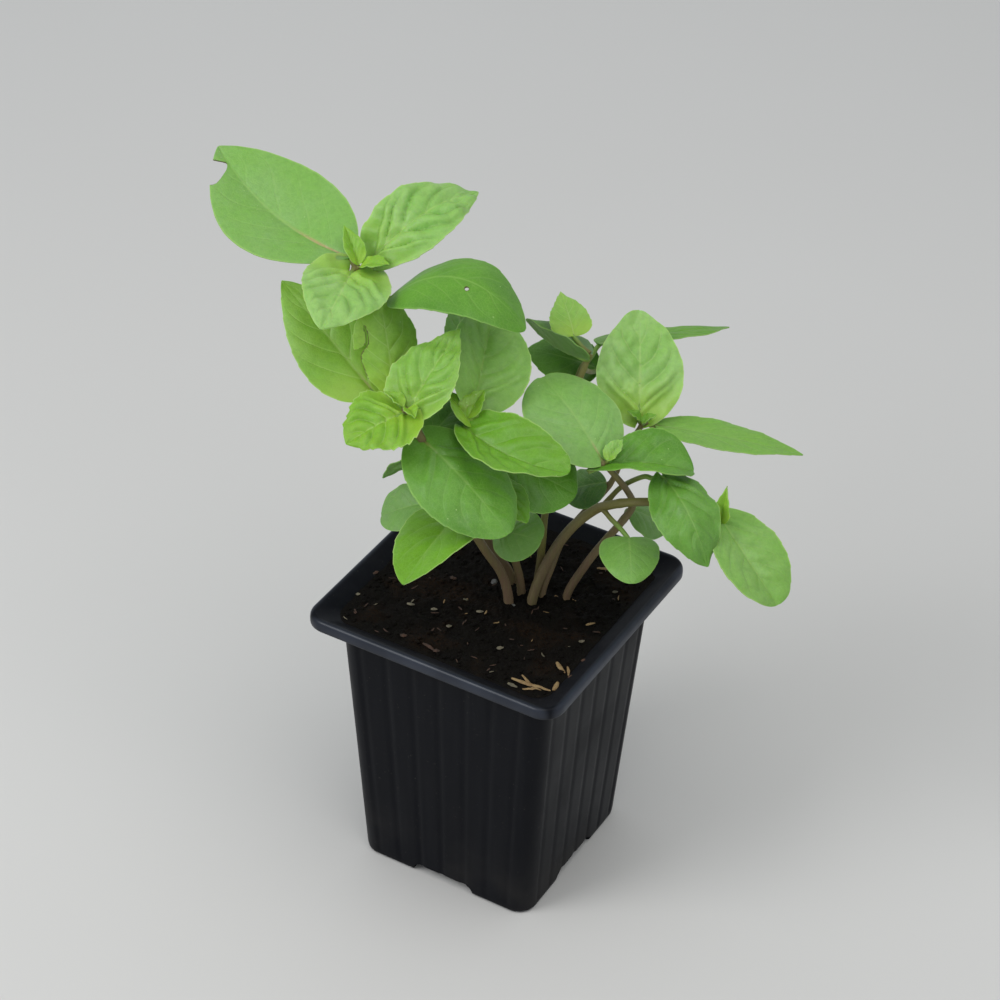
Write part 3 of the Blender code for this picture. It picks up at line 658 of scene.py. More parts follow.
def leaf_material(look):
    """Basil leaf: colour by age, paler veins and margin, a finer net between them and a soft shine."""
    material, nodes, shader = new_material("basil_leaf")
    place = nodes.place()
    blade = nodes.add("ShaderNodeUVMap", uv_map="blade").outputs[0]
    count = nodes.add("ShaderNodeUVMap", uv_map="veins").outputs[0]
    along = nodes.parts(blade)[0]
    age, pale, depth, blush = nodes.tones()
    # The third tone channel holds the painted shade of the folds on the top side and 1 on the underside
    under = nodes.span(depth, 0.8, 0.9)
    fold_shade = nodes.times(nodes.span(depth, 0.0, 0.5), nodes.math("SUBTRACT", 1.0, under))
    mottle = nodes.group("Mottle", Place=place, Size=70.0)
    veins = nodes.group("Leaf veins", Blade=blade, Count=count)
    # Young, grown and old greens, then pale and uneven patches, painted shade in the folds and a light foot
    ramp = nodes.add("ShaderNodeValToRGB", {"Fac": age})
    stops = ramp.color_ramp.elements
    stops[0].position = 0.08
    stops[0].color = (*look.young, 1.0)
    stops[1].position = 0.97
    stops[1].color = (*look.old, 1.0)
    grown = stops.new(0.62)
    grown.color = (*look.grown, 1.0)
    colour = nodes.mix(pale, ramp.outputs[0], look.pale)
    uneven = nodes.span(mottle["Slow"], 0.3, 0.7, 0.0, 0.55)
    colour = nodes.mix(nodes.times(uneven, 0.7), colour, LEAF_PATCH)
    colour = nodes.mix(nodes.span(mottle["Fine"], 0.35, 0.75, 0.0, 0.16), colour, LEAF_FLECK)
    # Painted shade: the hollows between the quilted swellings are darkened
    colour = nodes.mix(nodes.times(fold_shade, 0.62), colour, LEAF_FOLD_SHADE)
    foot_glow = nodes.times(nodes.span(along, 0.08, 0.45, 0.6, 0.0), nodes.span(age, 0.15, 0.5, 1.0, 0.0))
    colour = nodes.mix(foot_glow, colour, LEAF_FOOT)
    # Paler lines: the fine net, the side veins, the midrib and the margin
    net = nodes.cells(place, 900.0)
    net_line = nodes.span(net, 0.0, 0.07, 0.1, 0.0)
    side_line = nodes.times(veins["Side veins"], nodes.span(age, 0.15, 0.45, 0.36, 0.1))
    rib_line = nodes.times(veins["Midrib"], nodes.span(age, 0.2, 0.6, 0.5, 0.26))
    edge_line = nodes.times(veins["Margin"], nodes.span(age, 0.45, 0.7, 0.6, 0.32))
    lines = nodes.most(nodes.most(net_line, side_line), nodes.most(rib_line, edge_line))
    colour = nodes.mix(lines, colour, look.vein)
    # Pink foot of the midrib, light specks, the underside, and the browned rim of a wound
    reach = nodes.math("DIVIDE", along, nodes.most(blush, 0.05))
    foot = nodes.times(nodes.span(reach, 0.2, 0.42, 1.0, 0.0), blush)
    flush = nodes.times(nodes.times(foot, veins["Midrib"]), 0.75, clamp=True)
    colour = nodes.mix(flush, colour, look.blush)
    specks = nodes.span(nodes.cells(place, 420.0, "F1"), 0.05, 0.11, 0.5, 0.0)
    sparse = nodes.span(nodes.noise(place, 90.0, 1.0), 0.58, 0.68)
    colour = nodes.mix(nodes.times(specks, sparse), colour, LEAF_SPECK)
    colour = nodes.mix(nodes.times(under, 0.6), colour, look.underside)
    wound = nodes.times(blush, -1.0, clamp=True)
    colour = nodes.mix(wound, colour, LEAF_WOUND)
    nodes.put(colour, shader.inputs["Base Color"])
    rough = nodes.span(mottle["Slow"], 0.25, 0.75, 0.36, 0.5)
    nodes.put(nodes.math("MULTIPLY_ADD", under, 0.2, rough), shader.inputs["Roughness"])
    shader.inputs["Specular IOR Level"].default_value = 0.42
    shader.inputs["Subsurface Weight"].default_value = 0.35
    shader.inputs["Subsurface Radius"].default_value = (0.5, 1.0, 0.12)
    shader.inputs["Subsurface Scale"].default_value = 0.9 * MM
    fine = nodes.times(mottle["Fine"], 0.35)
    relief = nodes.math("MULTIPLY_ADD", nodes.span(net, 0.0, 0.16), 0.25, fine)
    relief = nodes.math("MULTIPLY_ADD", veins["Side veins"], -0.5, relief)
    set_bump(nodes, shader, relief, 0.12 * MM, 0.7)
    return material


def stem_material(look):
    """Basil stem: brown at the soil, green above, flushed with purple, with fine lengthwise streaks."""
    material, nodes, shader = new_material("basil_stem")
    place = nodes.place()
    height, purple, stalk, _ = nodes.tones()
    mottle = nodes.group("Mottle", Place=place, Size=160.0)
    lowered = nodes.math("SUBTRACT", height, 0.17)
    climb = nodes.math("MULTIPLY_ADD", mottle["Slow"], 0.35, lowered, clamp=True)
    colour = nodes.mix(nodes.span(climb, 0.0, 0.42), look.brown, look.green)
    flush = nodes.times(purple, nodes.span(mottle["Slow"], 0.2, 0.65, 0.35, 1.0), clamp=True)
    colour = nodes.mix(flush, colour, look.purple)
    stretched = nodes.add("ShaderNodeMapping", {"Vector": place, "Scale": (1.0, 1.0, 0.12)}).outputs[0]
    streak = nodes.noise(stretched, 1500.0, 2.0)
    colour = nodes.mix(nodes.span(streak, 0.4, 0.7, 0.0, 0.25), colour, STEM_STREAK)
    colour = nodes.mix(nodes.times(stalk, 0.9), colour, look.stalk)
    nodes.put(colour, shader.inputs["Base Color"])
    nodes.put(nodes.span(mottle["Fine"], 0.3, 0.7, 0.42, 0.6), shader.inputs["Roughness"])
    shader.inputs["Specular IOR Level"].default_value = 0.4
    set_bump(nodes, shader, streak, 0.1 * MM, 0.6)
    return material


def plastic_material(look):
    """Black moulded plastic with a fine grain, slight scuffs, a painted highlight along the rim and a little
    dust low down.
    """
    material, nodes, shader = new_material("black_plastic")
    place = nodes.place()
    mottle = nodes.group("Mottle", Place=place, Size=45.0)
    upright = nodes.add("ShaderNodeMapping", {"Vector": place, "Scale": (1.0, 1.0, 0.06)}).outputs[0]
    streak = nodes.noise(upright, 260.0, 3.0)
    colour = nodes.mix(nodes.span(streak, 0.4, 0.75, 0.0, 0.5), look.plastic, PLASTIC_SCUFF)
    x, y, height = nodes.parts(place)
    low = nodes.span(height, 0.0, 0.03, 0.14, 0.02)
    speck = nodes.span(nodes.noise(place, 900.0, 2.0, 0.7), 0.66, 0.8)
    dusty = nodes.times(low, nodes.span(mottle["Slow"], 0.42, 0.75))
    dust = nodes.most(dusty, nodes.times(speck, 0.35), clamp=True)
    colour = nodes.mix(dust, colour, look.dust)
    # Painted highlight: the rim's outer bead is paler and bluish, uneven along its length, with a little
    # more coat
    reach = nodes.most(nodes.math("ABSOLUTE", x), nodes.math("ABSOLUTE", y))
    rim = nodes.times(nodes.span(reach, *RIM_HIGHLIGHT_REACH), nodes.span(height, *RIM_HIGHLIGHT_HEIGHT))
    rim_highlight = nodes.times(rim, nodes.span(mottle["Slow"], 0.25, 0.7, 0.45, 1.0))
    colour = nodes.mix(rim_highlight, colour, look.rim_highlight)
    nodes.put(colour, shader.inputs["Base Color"])
    gloss = nodes.span(mottle["Slow"], 0.3, 0.7, 0.34, 0.46)
    nodes.put(nodes.math("MULTIPLY_ADD", dust, 0.4, gloss, clamp=True), shader.inputs["Roughness"])
    shader.inputs["Specular IOR Level"].default_value = 0.06
    nodes.put(nodes.math("MULTIPLY_ADD", rim_highlight, 0.6, 0.02), shader.inputs["Coat Weight"])
    shader.inputs["Coat Roughness"].default_value = 0.3
    shader.inputs["Coat Tint"].default_value = PLASTIC_SHEEN
    pits = nodes.noise(place, 2600.0, 2.0)
    grain = nodes.math("MULTIPLY_ADD", pits, 0.5, nodes.times(streak, 0.6))
    set_bump(nodes, shader, grain, 0.05 * MM, 0.5)
    return material


def soil_material(look):
    """Damp dark peat with redder, drier patches."""
    material, nodes, shader = new_material("potting_soil")
    place = nodes.place()
    mottle = nodes.group("Mottle", Place=place, Size=60.0)
    grit = nodes.noise(place, 1400.0, 4.0, 0.7)
    patch = nodes.times(nodes.span(mottle["Slow"], 0.5, 0.68), nodes.span(grit, 0.35, 0.7))
    colour = nodes.mix(patch, look.dark, look.brown)
    colour = nodes.mix(nodes.span(mottle["Fine"], 0.62, 0.8, 0.0, 0.6), colour, SOIL_FLECK)
    nodes.put(colour, shader.inputs["Base Color"])
    nodes.put(nodes.span(grit, 0.3, 0.7, 0.7, 0.98), shader.inputs["Roughness"])
    shader.inputs["Specular IOR Level"].default_value = 0.1
    set_bump(nodes, shader, grit, 0.4 * MM, 0.9)
    return material


def bit_material(name, colour, second, rough):
    """Wood fibre, bark or a pale mineral bit, with streaks along and specks."""
    material, nodes, shader = new_material(name)
    place = nodes.place()
    mottle = nodes.group("Mottle", Place=place, Size=500.0)
    shade = nodes.mix(nodes.span(mottle["Slow"], 0.3, 0.7), colour, second)
    shade = nodes.mix(nodes.span(mottle["Fine"], 0.5, 0.75, 0.0, 0.6), shade, BIT_SHADOW)
    nodes.put(shade, shader.inputs["Base Color"])
    nodes.put(nodes.span(mottle["Fine"], 0.2, 0.8, rough - 0.1, rough + 0.1), shader.inputs["Roughness"])
    set_bump(nodes, shader, mottle["Fine"], 0.15 * MM, 0.8)
    return material


def outline(along, swell, taper):
    """Half width of a blade along its length, 1 at its widest."""
    widest = swell / (swell + taper)
    peak = widest**swell * (1 - widest) ** taper
    return np.power(along, swell) * np.power(1 - along, taper) / peak


def smooth_step(low, high, value):
    """0 below low, 1 above high, and a smooth rise between."""
    share = np.clip((value - low) / (high - low), 0.0, 1.0)
    return share * share * (3 - 2 * share)


class Blade:
    """The middle surface of one leaf, in millimetres."""

    def __init__(self, leaf):
        self.leaf = leaf
        self.base = np.array(leaf.base, float)
        chord = np.array(leaf.tip, float) - self.base
        self.length = np.linalg.norm(chord)
        self.chord = chord / self.length
        up = np.array((0.0, 0.0, 1.0)) - self.chord * self.chord[2]
        up /= np.linalg.norm(up)
        side = np.cross(self.chord, up)
        turn = math.radians(leaf.roll)
        self.up = up * math.cos(turn) + side * math.sin(turn)
        self.side = side * math.cos(turn) - up * math.sin(turn)

    def points(self, along, across, extra=0.0):
        leaf = self.leaf
        half = leaf.width / 2 * outline(along, leaf.swell, leaf.taper) + extra
        reach = np.abs(across)
        rise = 4 * along * (1 - along)
        along = along - leaf.heart * reach**1.5 * (1 - along) ** 5
        fold = np.radians(leaf.fold + leaf.lean * np.sign(across))
        lift = leaf.arch * self.length * rise + half * (reach * np.sin(fold) - CUP * across * across)
        shift = half * across * np.cos(fold) + leaf.bend * self.length * rise
        straight = self.base + np.multiply.outer(self.length * along, self.chord)
        return straight + np.multiply.outer(lift, self.up) + np.multiply.outer(shift, self.side)

    def point(self, along, across=0.0):
        return self.points(np.array(along, float), np.array(across, float))


class Body:
    """Collects the points, faces and tones of one piece."""

    def __init__(self):
        self.points = []
        self.faces = []
        self.slots = []
        self.blade = []
        self.tone = []
        self.count = 0

    def add(self, points, faces, slot, blade=None, tone=(0.0, 0.0, 0.0, 0.0)):
        points = np.asarray(points, float).reshape(-1, 3)
        amount = len(points)
        self.points.append(points)
        self.faces.extend([tuple(index + self.count for index in face) for face in faces])
        self.slots.extend([slot] * len(faces))
        self.blade.append(np.zeros((amount, 4)) if blade is None else np.asarray(blade, float))
        tone = np.asarray(tone, float)
        self.tone.append(np.tile(tone, (amount, 1)) if tone.ndim == 1 else tone)
        self.count += amount

    def build(self, name, materials, sharp=60.0):
        mesh = bpy.data.meshes.new(name)
        points = np.concatenate(self.points) * MM
        mesh.from_pydata(points.tolist(), [], self.faces)
        corners = np.zeros(len(mesh.loops), dtype=np.int32)
        mesh.loops.foreach_get("vertex_index", corners)
        places = np.concatenate(self.blade)[corners]
        if places.any():
            mesh.uv_layers.new(name="blade").data.foreach_set("uv", places[:, :2].ravel())
            mesh.uv_layers.new(name="veins").data.foreach_set("uv", places[:, 2:].ravel())
        tone = mesh.color_attributes.new("tone", "FLOAT_COLOR", "POINT")
        tone.data.foreach_set("color", np.concatenate(self.tone).ravel())
        mesh.polygons.foreach_set("material_index", np.array(self.slots, dtype=np.int32))
        for material in materials:
            mesh.materials.append(material)
        mesh.update()
        mesh.shade_smooth()
        mesh.set_sharp_from_angle(angle=math.radians(sharp))
        obj = bpy.data.objects.new(name, mesh)
        bpy.context.scene.collection.objects.link(obj)
        return obj


def grid_faces(rows, columns, first=0, flip=False, closed=False):
    """Four-sided faces between rows of points, closed round where the last column meets the first."""
    faces = []
    steps = columns if closed else columns - 1
    for row in range(rows - 1):
        for column in range(steps):
            following = (column + 1) % columns
            a = first + row * columns + column
            b = first + row * columns + following
            c = b + columns
            d = a + columns
            faces.append((a, d, c, b) if flip else (a, b, c, d))
    return faces


def tube_faces(rings, sides):
    """Faces round a stack of rings, with a cap at each end."""
    faces = grid_faces(rings, sides, 0, False, True)
    faces.append(tuple(reversed(range(sides))))
    faces.append(tuple(range((rings - 1) * sides, rings * sides)))
    return faces


def sheet_faces(rows, columns, outward):
    """Faces of a closed sheet: its top, its underside and the strip round its edge."""
    amount = rows * columns
    faces = grid_faces(rows, columns, 0, not outward)
    faces += grid_faces(rows, columns, amount, outward)
    edge = list(range(columns))
    edge += [row * columns + columns - 1 for row in range(1, rows)]
    edge += [(rows - 1) * columns + column for column in range(columns - 2, -1, -1)]
    edge += [row * columns for row in range(rows - 2, 0, -1)]
    for index, here in enumerate(edge):
        after = edge[(index + 1) % len(edge)]
        face = (here, here + amount, after + amount, after)
        faces.append(face if outward else tuple(reversed(face)))
    return faces


def toothed_edge(leaf, along, across, draw):
    """How far the teeth stand out from the smooth outline, in millimetres."""
    teeth = SMALL_TEETH if leaf.width < SMALL_WIDTH else FULL_TEETH
    saw = np.mod(along * teeth + 0.15 * np.sign(across) + draw.random(), 1.0)
    tooth = leaf.teeth * (saw**1.4 - 0.45) * smooth_step(0.7, 1.0, np.abs(across))
    return tooth * (smooth_step(0.06, 0.2, along) * (1 - smooth_step(0.9, 0.99, along)))


def vein_course(along, across, draw):
    """Where the side vein through each point leaves the midrib, and its number, counted from the foot."""
    reach = np.abs(across)
    sides = np.sign(across)
    start = np.maximum(along - VEIN_SLANT * reach - VEIN_CURVE * reach**2, 0.0)
    wander = 0.12 * np.sin(5.1 * along + sides * draw.uniform(0, 3) + draw.uniform(0, ANY_TURN))
    wander += 0.08 * np.sin(4.2 * across + 9.0 * along + draw.uniform(0, ANY_TURN))
    return start, start**VEIN_CROWDING * SIDE_VEINS + 0.11 * sides + wander


def bump_over(distance, width):
    """A smooth bump along a line, 1 on the line."""
    return np.exp(-((distance / width) ** 2))


def blade_relief(leaf, blade, along, across, half, start, phase, draw):
    """Height of the quilted, grooved and waved surface in millimetres, and how deep each fold lies, which
    sets the painted shade in the folds.
    """
    reach = np.abs(across)
    sides = np.sign(across)
    quilt = leaf.quilt * (0.4 if leaf.width < SMALL_WIDTH else 1.0)
    cycle = phase - np.round(phase)
    from_vein = np.abs(cycle) * blade.length / SIDE_VEINS * 0.8
    from_rib = reach * half
    # Swellings between the side veins, each of its own height
    puffs = np.array([[draw.uniform(*PUFF_HEIGHTS) for _ in range(PUFFS_A_HALF)] for _ in range(2)])
    puff = puffs[(sides > 0).astype(int), np.clip(np.floor(phase), 0, PUFFS_A_HALF - 1).astype(int)]
    pillow = (1 - (1 - 2 * np.abs(cycle)) ** 2.4) * smooth_step(0.0, 0.06, start)
    spread = smooth_step(0.0, 0.22, reach) * (1 - smooth_step(0.72, 1.0, reach)) * (1 - 0.45 * along)
    spread *= 1 - smooth_step(0.68, 0.9, along)
    height = quilt * (pillow * puff - 0.5) * spread
    groove = bump_over(from_vein, VEIN_HALF_WIDTH) * (1 - smooth_step(0.5, 0.92, reach))
    height -= (0.04 + 0.3 * quilt) * groove * (1 - smooth_step(0.72, 0.92, along))
    # Small ridges that run any way across the blade
    length = along * blade.length
    width = across * half
    for _ in range(RIDGES):
        turn = draw.uniform(0, math.pi)
        scale = draw.uniform(0.5, 1.2)
        ridge = scale * (length * math.cos(turn) + width * math.sin(turn)) + draw.uniform(0, ANY_TURN)
        height += RIDGE_HEIGHT * quilt * np.sin(ridge) * smooth_step(0.0, 0.25, reach)
    height -= (0.16 + 0.3 * quilt) * bump_over(from_rib, RIB_HALF_WIDTH) * (1 - 0.6 * along)
    # Waves of the margin, quick and slow
    roll_a = draw.uniform(0, ANY_TURN)
    roll_b = draw.uniform(0, ANY_TURN)
    ripple = np.sin(along * 11.0 + roll_a + sides * roll_b)
    ripple += 0.6 * np.sin(along * 23.0 + roll_b - sides * roll_a)
    height += QUICK_WAVE * leaf.wave * ripple * reach**3 * smooth_step(0.03, 0.2, along)
    swing = np.sin(along * 7.0 + across * 2.2 + roll_b)
    height += SLOW_WAVE * leaf.wave * swing * smooth_step(0.1, 0.4, reach)
    height *= 0.25 + 0.75 * smooth_step(0.0, 2.5, half)
    rib = RIB_HEIGHT * bump_over(from_rib, 0.75) * (1 - 0.85 * along)
    rib += VEIN_HEIGHT * bump_over(from_vein, 0.4) * (1 - smooth_step(0.6, 0.95, reach))
    rib *= 0.2 + 0.8 * smooth_step(0.0, 2.0, half)
    # How deep each point lies between the swellings, for the painted shade in the folds
    fold_shade = (1 - pillow) * spread * smooth_step(0.0, 0.7, puff)
    return height, rib, 0.6 * quilt * fold_shade


def add_blade(body, leaf, look, seed):
    """A leaf blade: quilted between its side veins, toothed and waved at its edge, with a rib below."""
    blade = Blade(leaf)
    draw = random.Random(seed)
    rows, columns = SMALL_GRID if leaf.width < SMALL_WIDTH else FULL_GRID
    even = np.linspace(0.0, 1.0, rows)
    eased = 0.5 - 0.5 * np.cos(even * math.pi)
    steps = END_TRIM + (1 - 2 * END_TRIM) * (0.6 * even + 0.4 * eased)
    along, across = np.meshgrid(steps, np.linspace(-1.0, 1.0, columns), indexing="ij")
    reach = np.abs(across)
    half = leaf.width / 2 * outline(along, leaf.swell, leaf.taper)
    middle = blade.points(along, across, toothed_edge(leaf, along, across, draw))
    normal = np.cross(np.gradient(middle, axis=1), np.gradient(middle, axis=0))
    normal /= np.maximum(np.linalg.norm(normal, axis=2, keepdims=True), 1e-9)
    outward = (normal[rows // 2, columns // 2] * blade.up).sum() >= 0
    if not outward:
        normal = -normal
    start, phase = vein_course(along, across, draw)
    height, rib, fold_shade = blade_relief(leaf, blade, along, across, half, start, phase, draw)
    thick = look.thickness / MM * (1 - 0.35 * smooth_step(0.85, 1.0, reach))
    top = middle + normal * (height + thick / 2)[..., None]
    bottom = middle + normal * (height - thick / 2 - rib)[..., None]
    coordinates = np.stack([along, 0.5 + 0.5 * across, phase, start], axis=-1).reshape(-1, 4)
    age = min(1.0, max(0.0, leaf.age + draw.uniform(-0.04, 0.04)))
    upper = np.tile((age, leaf.pale, 0.0, leaf.blush), (rows * columns, 1))
    # Painted shade of the folds, carried in the third tone channel of the top side
    upper[:, 2] = 0.45 * np.clip(fold_shade.ravel(), 0.0, 1.0)
    lower = np.tile((age, leaf.pale, 1.0, leaf.blush), (rows * columns, 1))
    body.add(
        np.concatenate([top.reshape(-1, 3), bottom.reshape(-1, 3)]),
        sheet_faces(rows, columns, outward),
        LEAF_SLOT,
        np.concatenate([coordinates, coordinates]),
        np.concatenate([upper, lower]),
    )


def cut_ring(blade, cut):
    """Corners of one bite, tear or hole, each blunted, from millimetres along and aside of the midrib."""
    ring = []
    for index, (along, aside) in enumerate(cut):
        next_along, next_aside = cut[(index + 1) % len(cut)]
        for share in (0.25, 0.75):
            x = along + (next_along - along) * share
            y = aside + (next_aside - aside) * share
            foot = min(0.98, max(0.02, x / blade.length))
            ring.append(blade.point(foot) + blade.chord * (x - foot * blade.length) + blade.side * y)
    return ring


def cut_blade(body, leaf, look, seed):
    """A blade with bites, a tear or a hole cut through it."""
    whole = Body()
    add_blade(whole, leaf, look, seed)
    points = np.concatenate(whole.points)
    coordinates = np.concatenate(whole.blade)
    tones = np.concatenate(whole.tone)
    blade = Blade(leaf)
    obj = object_from("blade", points, whole.faces)
    for cut in leaf.cuts:
        ring = cut_ring(blade, cut)
        depth = blade.up * CUT_DEPTH
        corners = [spot + depth for spot in ring] + [spot - depth for spot in ring]
        boolean(obj, object_from("cutter", corners, tube_faces(2, len(ring))), "DIFFERENCE")
    mesh = obj.data
    found = np.zeros(len(mesh.vertices) * 3)
    mesh.vertices.foreach_get("co", found)
    found = found.reshape(-1, 3) / MM
    faces = [tuple(face.vertices) for face in mesh.polygons]
    bpy.data.objects.remove(obj, do_unlink=True)
    tree = KDTree(len(points))
    for index, point in enumerate(points):
        tree.insert(point, index)
    tree.balance()
    nearest = [tree.find(point) for point in found]
    picked = np.array([index for _, index, _ in nearest])
    new = np.array([away for _, _, away in nearest]) > 0.001
    tones = tones[picked]
    tones[new, 3] = -1.0
    body.add(found, faces, LEAF_SLOT, coordinates[picked], tones)


def smooth_route(route, spacing):
    """Closely spaced points on a smooth curve through the given ones, and each point's share of the way."""
    route = np.array(route, float)
    padded = np.concatenate([[2 * route[0] - route[1]], route, [2 * route[-1] - route[-2]]])
    points = []
    shares = []
    for index in range(len(route) - 1):
        a, b, c, d = padded[index : index + 4]
        steps = max(2, int(np.linalg.norm(c - b) / spacing))
        for step in range(steps):
            t = step / steps
            spot = 2 * b + (c - a) * t + (2 * a - 5 * b + 4 * c - d) * t * t + (3 * b - a - 3 * c + d) * t**3
            points.append(0.5 * spot)
            shares.append((index + t) / (len(route) - 1))
    points.append(route[-1])
    shares.append(1.0)
    return np.array(points), np.array(shares)


def add_tube(body, points, radii, tones, sides, square=0.0):
    """A round or slightly squared rod along a line."""
    count = len(points)
    ahead = np.gradient(points, axis=0)
    ahead /= np.linalg.norm(ahead, axis=1, keepdims=True)
    turn = np.cross(ahead[0], (0.0, 1.0, 0.0))
    if np.linalg.norm(turn) < 0.2:
        turn = np.cross(ahead[0], (1.0, 0.0, 0.0))
    turn /= np.linalg.norm(turn)
    angles = np.linspace(0, 2 * math.pi, sides, endpoint=False)
    shape = 1 + square * np.cos(4 * angles)
    rings = []
    for index in range(count):
        turn = turn - ahead[index] * turn.dot(ahead[index])
        turn /= np.linalg.norm(turn)
        other = np.cross(ahead[index], turn)
        ring = np.outer(np.cos(angles) * shape, turn) + np.outer(np.sin(angles) * shape, other)
        rings.append(points[index] + ring * radii[index])
    tones = np.repeat(tones, sides, axis=0)
    body.add(np.concatenate(rings), tube_faces(count, sides), STEM_SLOT, None, tones)


def nearest_on_route(route, point):
    """The point of a stem's axis nearest to a leaf's base, and its share of the height."""
    best = None
    point = np.array(point, float)
    for index in range(1, len(route) - 1):
        start = np.array(route[index], float)
        line = np.array(route[index + 1], float) - start
        share = min(1.0, max(0.0, (point - start).dot(line) / line.dot(line)))
        found = start + line * share
        away = np.linalg.norm(found - point)
        if best is None or away < best[0]:
            best = (away, found, (index + share) / (len(route) - 1))
    return best[1], best[2]


def add_stalk(body, leaf, route, purple):
    """The stalk of one leaf, from the stem to under the foot of its midrib."""
    blade = Blade(leaf)
    radius = 0.5 if leaf.width < SMALL_WIDTH else 0.8
    joint, share = nearest_on_route(route, leaf.base)
    points = [np.array(point, float) for point in leaf.stalk] or [joint]
    entry = blade.point(0.02) - blade.up * radius * 0.9
    gap = np.linalg.norm(entry - points[-1])
    if gap > SAGGING_GAP:
        middle = (entry + points[-1]) / 2
        middle[2] -= 0.06 * gap
        points.append(middle)
    points.append(entry)
    points.append(blade.point(0.12) - blade.up * (radius * 0.55 + 0.3))
    points.append(blade.point(0.34) - blade.up * 0.55)
    line, shares = smooth_route(points, STEM_SPACING)
    foot = 1 - smooth_step(0.0, 0.12, shares)
    radii = radius * (1 - 0.8 * smooth_step(0.45, 1.0, shares)) * (1 + 0.35 * foot)
    tones = np.zeros((len(line), 4))
    tones[:, 0] = 1.0
    tones[:, 1] = purple * 0.5 * (1 - smooth_step(0.0, 0.5, shares))
    tones[:, 2] = smooth_step(0.05, 0.6, shares)
    add_tube(body, line, radii, tones, 12)
    return share


def grow_shoot(shoot, look, leaf_finish, stem_finish, seed):
    """One stem with its stalks and leaves, as one piece."""
    body = Body()
    knots = []
    for number, leaf in enumerate(shoot.leaves):
        make_blade = cut_blade if leaf.cuts else add_blade
        make_blade(body, leaf, look, seed * 100 + number)
        knots.append(add_stalk(body, leaf, shoot.route, shoot.purple))
    line, shares = smooth_route(shoot.route, STEM_SPACING)
    length = np.concatenate([[0], np.cumsum(np.linalg.norm(np.diff(line, axis=0), axis=1))])
    last = len(shoot.route) - 1
    radii = shoot.radius * (1 - STEM_THINNING * np.clip((shares * last - 1) / (last - 1), 0, 1))
    for knot in knots:
        here = np.interp(knot, shares, length)
        radii *= 1 + KNOT_SWELL * bump_over(length - here, KNOT_LENGTH)
    tones = np.zeros((len(line), 4))
    tones[:, 0] = smooth_step(0.15, 0.8, shares)
    tones[:, 1] = shoot.purple * (1 - 0.3 * shares)
    add_tube(body, line, radii, tones, 20, 0.05)
    piece = body.build(shoot.node.replace("leafy_stem", "shoot"), [leaf_finish, stem_finish])
    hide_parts(shoot.node)
    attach(piece, "root")


def turned(x, y, turn):
    """A point turned about the middle of the pot."""
    return x * math.cos(turn) - y * math.sin(turn), x * math.sin(turn) + y * math.cos(turn)


def corner_points(straight, corner, first, steps):
    """Points round one corner of a rounded square, from its first step on."""
    points = []
    for step in range(first, steps):
        angle = step / steps * math.pi / 2
        points.append((straight + corner * math.cos(angle), straight + corner * math.sin(angle)))
    return points


def all_round(side):
    """One side's points, repeated on all four sides."""
    return [turned(x, y, quarter * math.pi / 2) for quarter in range(4) for x, y in side]


def pot_ring(half, corner, height, groove_depth):
    """Points round a rounded square, with smooth upright grooves pressed into each side."""
    straight = half - corner
    side = []
    for index in range(POT_POINTS_A_SIDE):
        along = straight * (2 * index / (POT_POINTS_A_SIDE - 1) - 1)
        press = 0.0
        for groove in range(GROOVES_A_SIDE):
            centre = (2 * groove / (GROOVES_A_SIDE - 1) - 1) * GROOVE_SPREAD * straight
            away = abs(along - centre) / GROOVE_HALF_WIDTH
            if away < 1:
                press = max(press, 0.5 + 0.5 * math.cos(math.pi * away))
        end = min(1.0, (straight - abs(along)) / GROOVE_END)
        side.append((half - groove_depth * press * end, along))
    side += corner_points(straight, corner, 1, POT_POINTS_A_CORNER)
    return [(x, y, height) for x, y in all_round(side)]


def object_from(name, points, faces):
    """An object from points in millimetres, with all its faces turned outwards."""
    mesh = bpy.data.meshes.new(name)
    mesh.from_pydata([tuple(value * MM for value in point) for point in points], [], faces)
    work = bmesh.new()
    work.from_mesh(mesh)
    bmesh.ops.recalc_face_normals(work, faces=work.faces)
    work.to_mesh(mesh)
    work.free()
    obj = bpy.data.objects.new(name, mesh)
    bpy.context.scene.collection.objects.link(obj)
    return obj


def arch_profile(swell, floor):
    """Outline of an arch, or of its walls where it swells by their thickness."""
    half = ARCH_WIDTH / 2 + swell
    top = ARCH_HEIGHT + swell
    profile = [(-half, floor), (half, floor)]
    for end, first in ((1, 0.0), (-1, math.pi / 2)):
        for step in range(9):
            angle = first + step / 8 * math.pi / 2
            x = end * half - ARCH_SHOULDER * (end - math.cos(angle))
            profile.append((x, top - ARCH_SHOULDER * (1 - math.sin(angle))))
    return profile


def four_prisms(name, end_ring, first_end, last_end):
    """Four prisms in one object, one for each side of the base, between the rings at their two ends."""
    points = []
    faces = []
    for side in range(4):
        turn = side * math.pi / 2
        ring = end_ring(turn, first_end)
        first = len(points)
        points += ring + end_ring(turn, last_end)
        faces += [tuple(first + index for index in face) for face in tube_faces(2, len(ring))]
    return object_from(name, points, faces)


def arches(name, swell, floor, inner, outer):
    """Four prisms with arched ends, one under each side of the base."""
    profile = arch_profile(swell, floor)

    def end_ring(turn, reach):
        return [(*turned(reach, across, turn), height) for across, height in profile]

    return four_prisms(name, end_ring, outer, inner)


def drains():
    """Four upright rods, one in each arch, to cut the drain holes."""
    sides = 32
    angles = [2 * math.pi * index / sides for index in range(sides)]

    def end_ring(turn, height):
        x, y = turned(DRAIN_FROM_CENTRE, 0.0, turn)
        return [(x + DRAIN_RADIUS * math.cos(a), y + DRAIN_RADIUS * math.sin(a), height) for a in angles]

    return four_prisms("drain_cutter", end_ring, ARCH_HEIGHT - 1.0, ARCH_HEIGHT + 3.0)


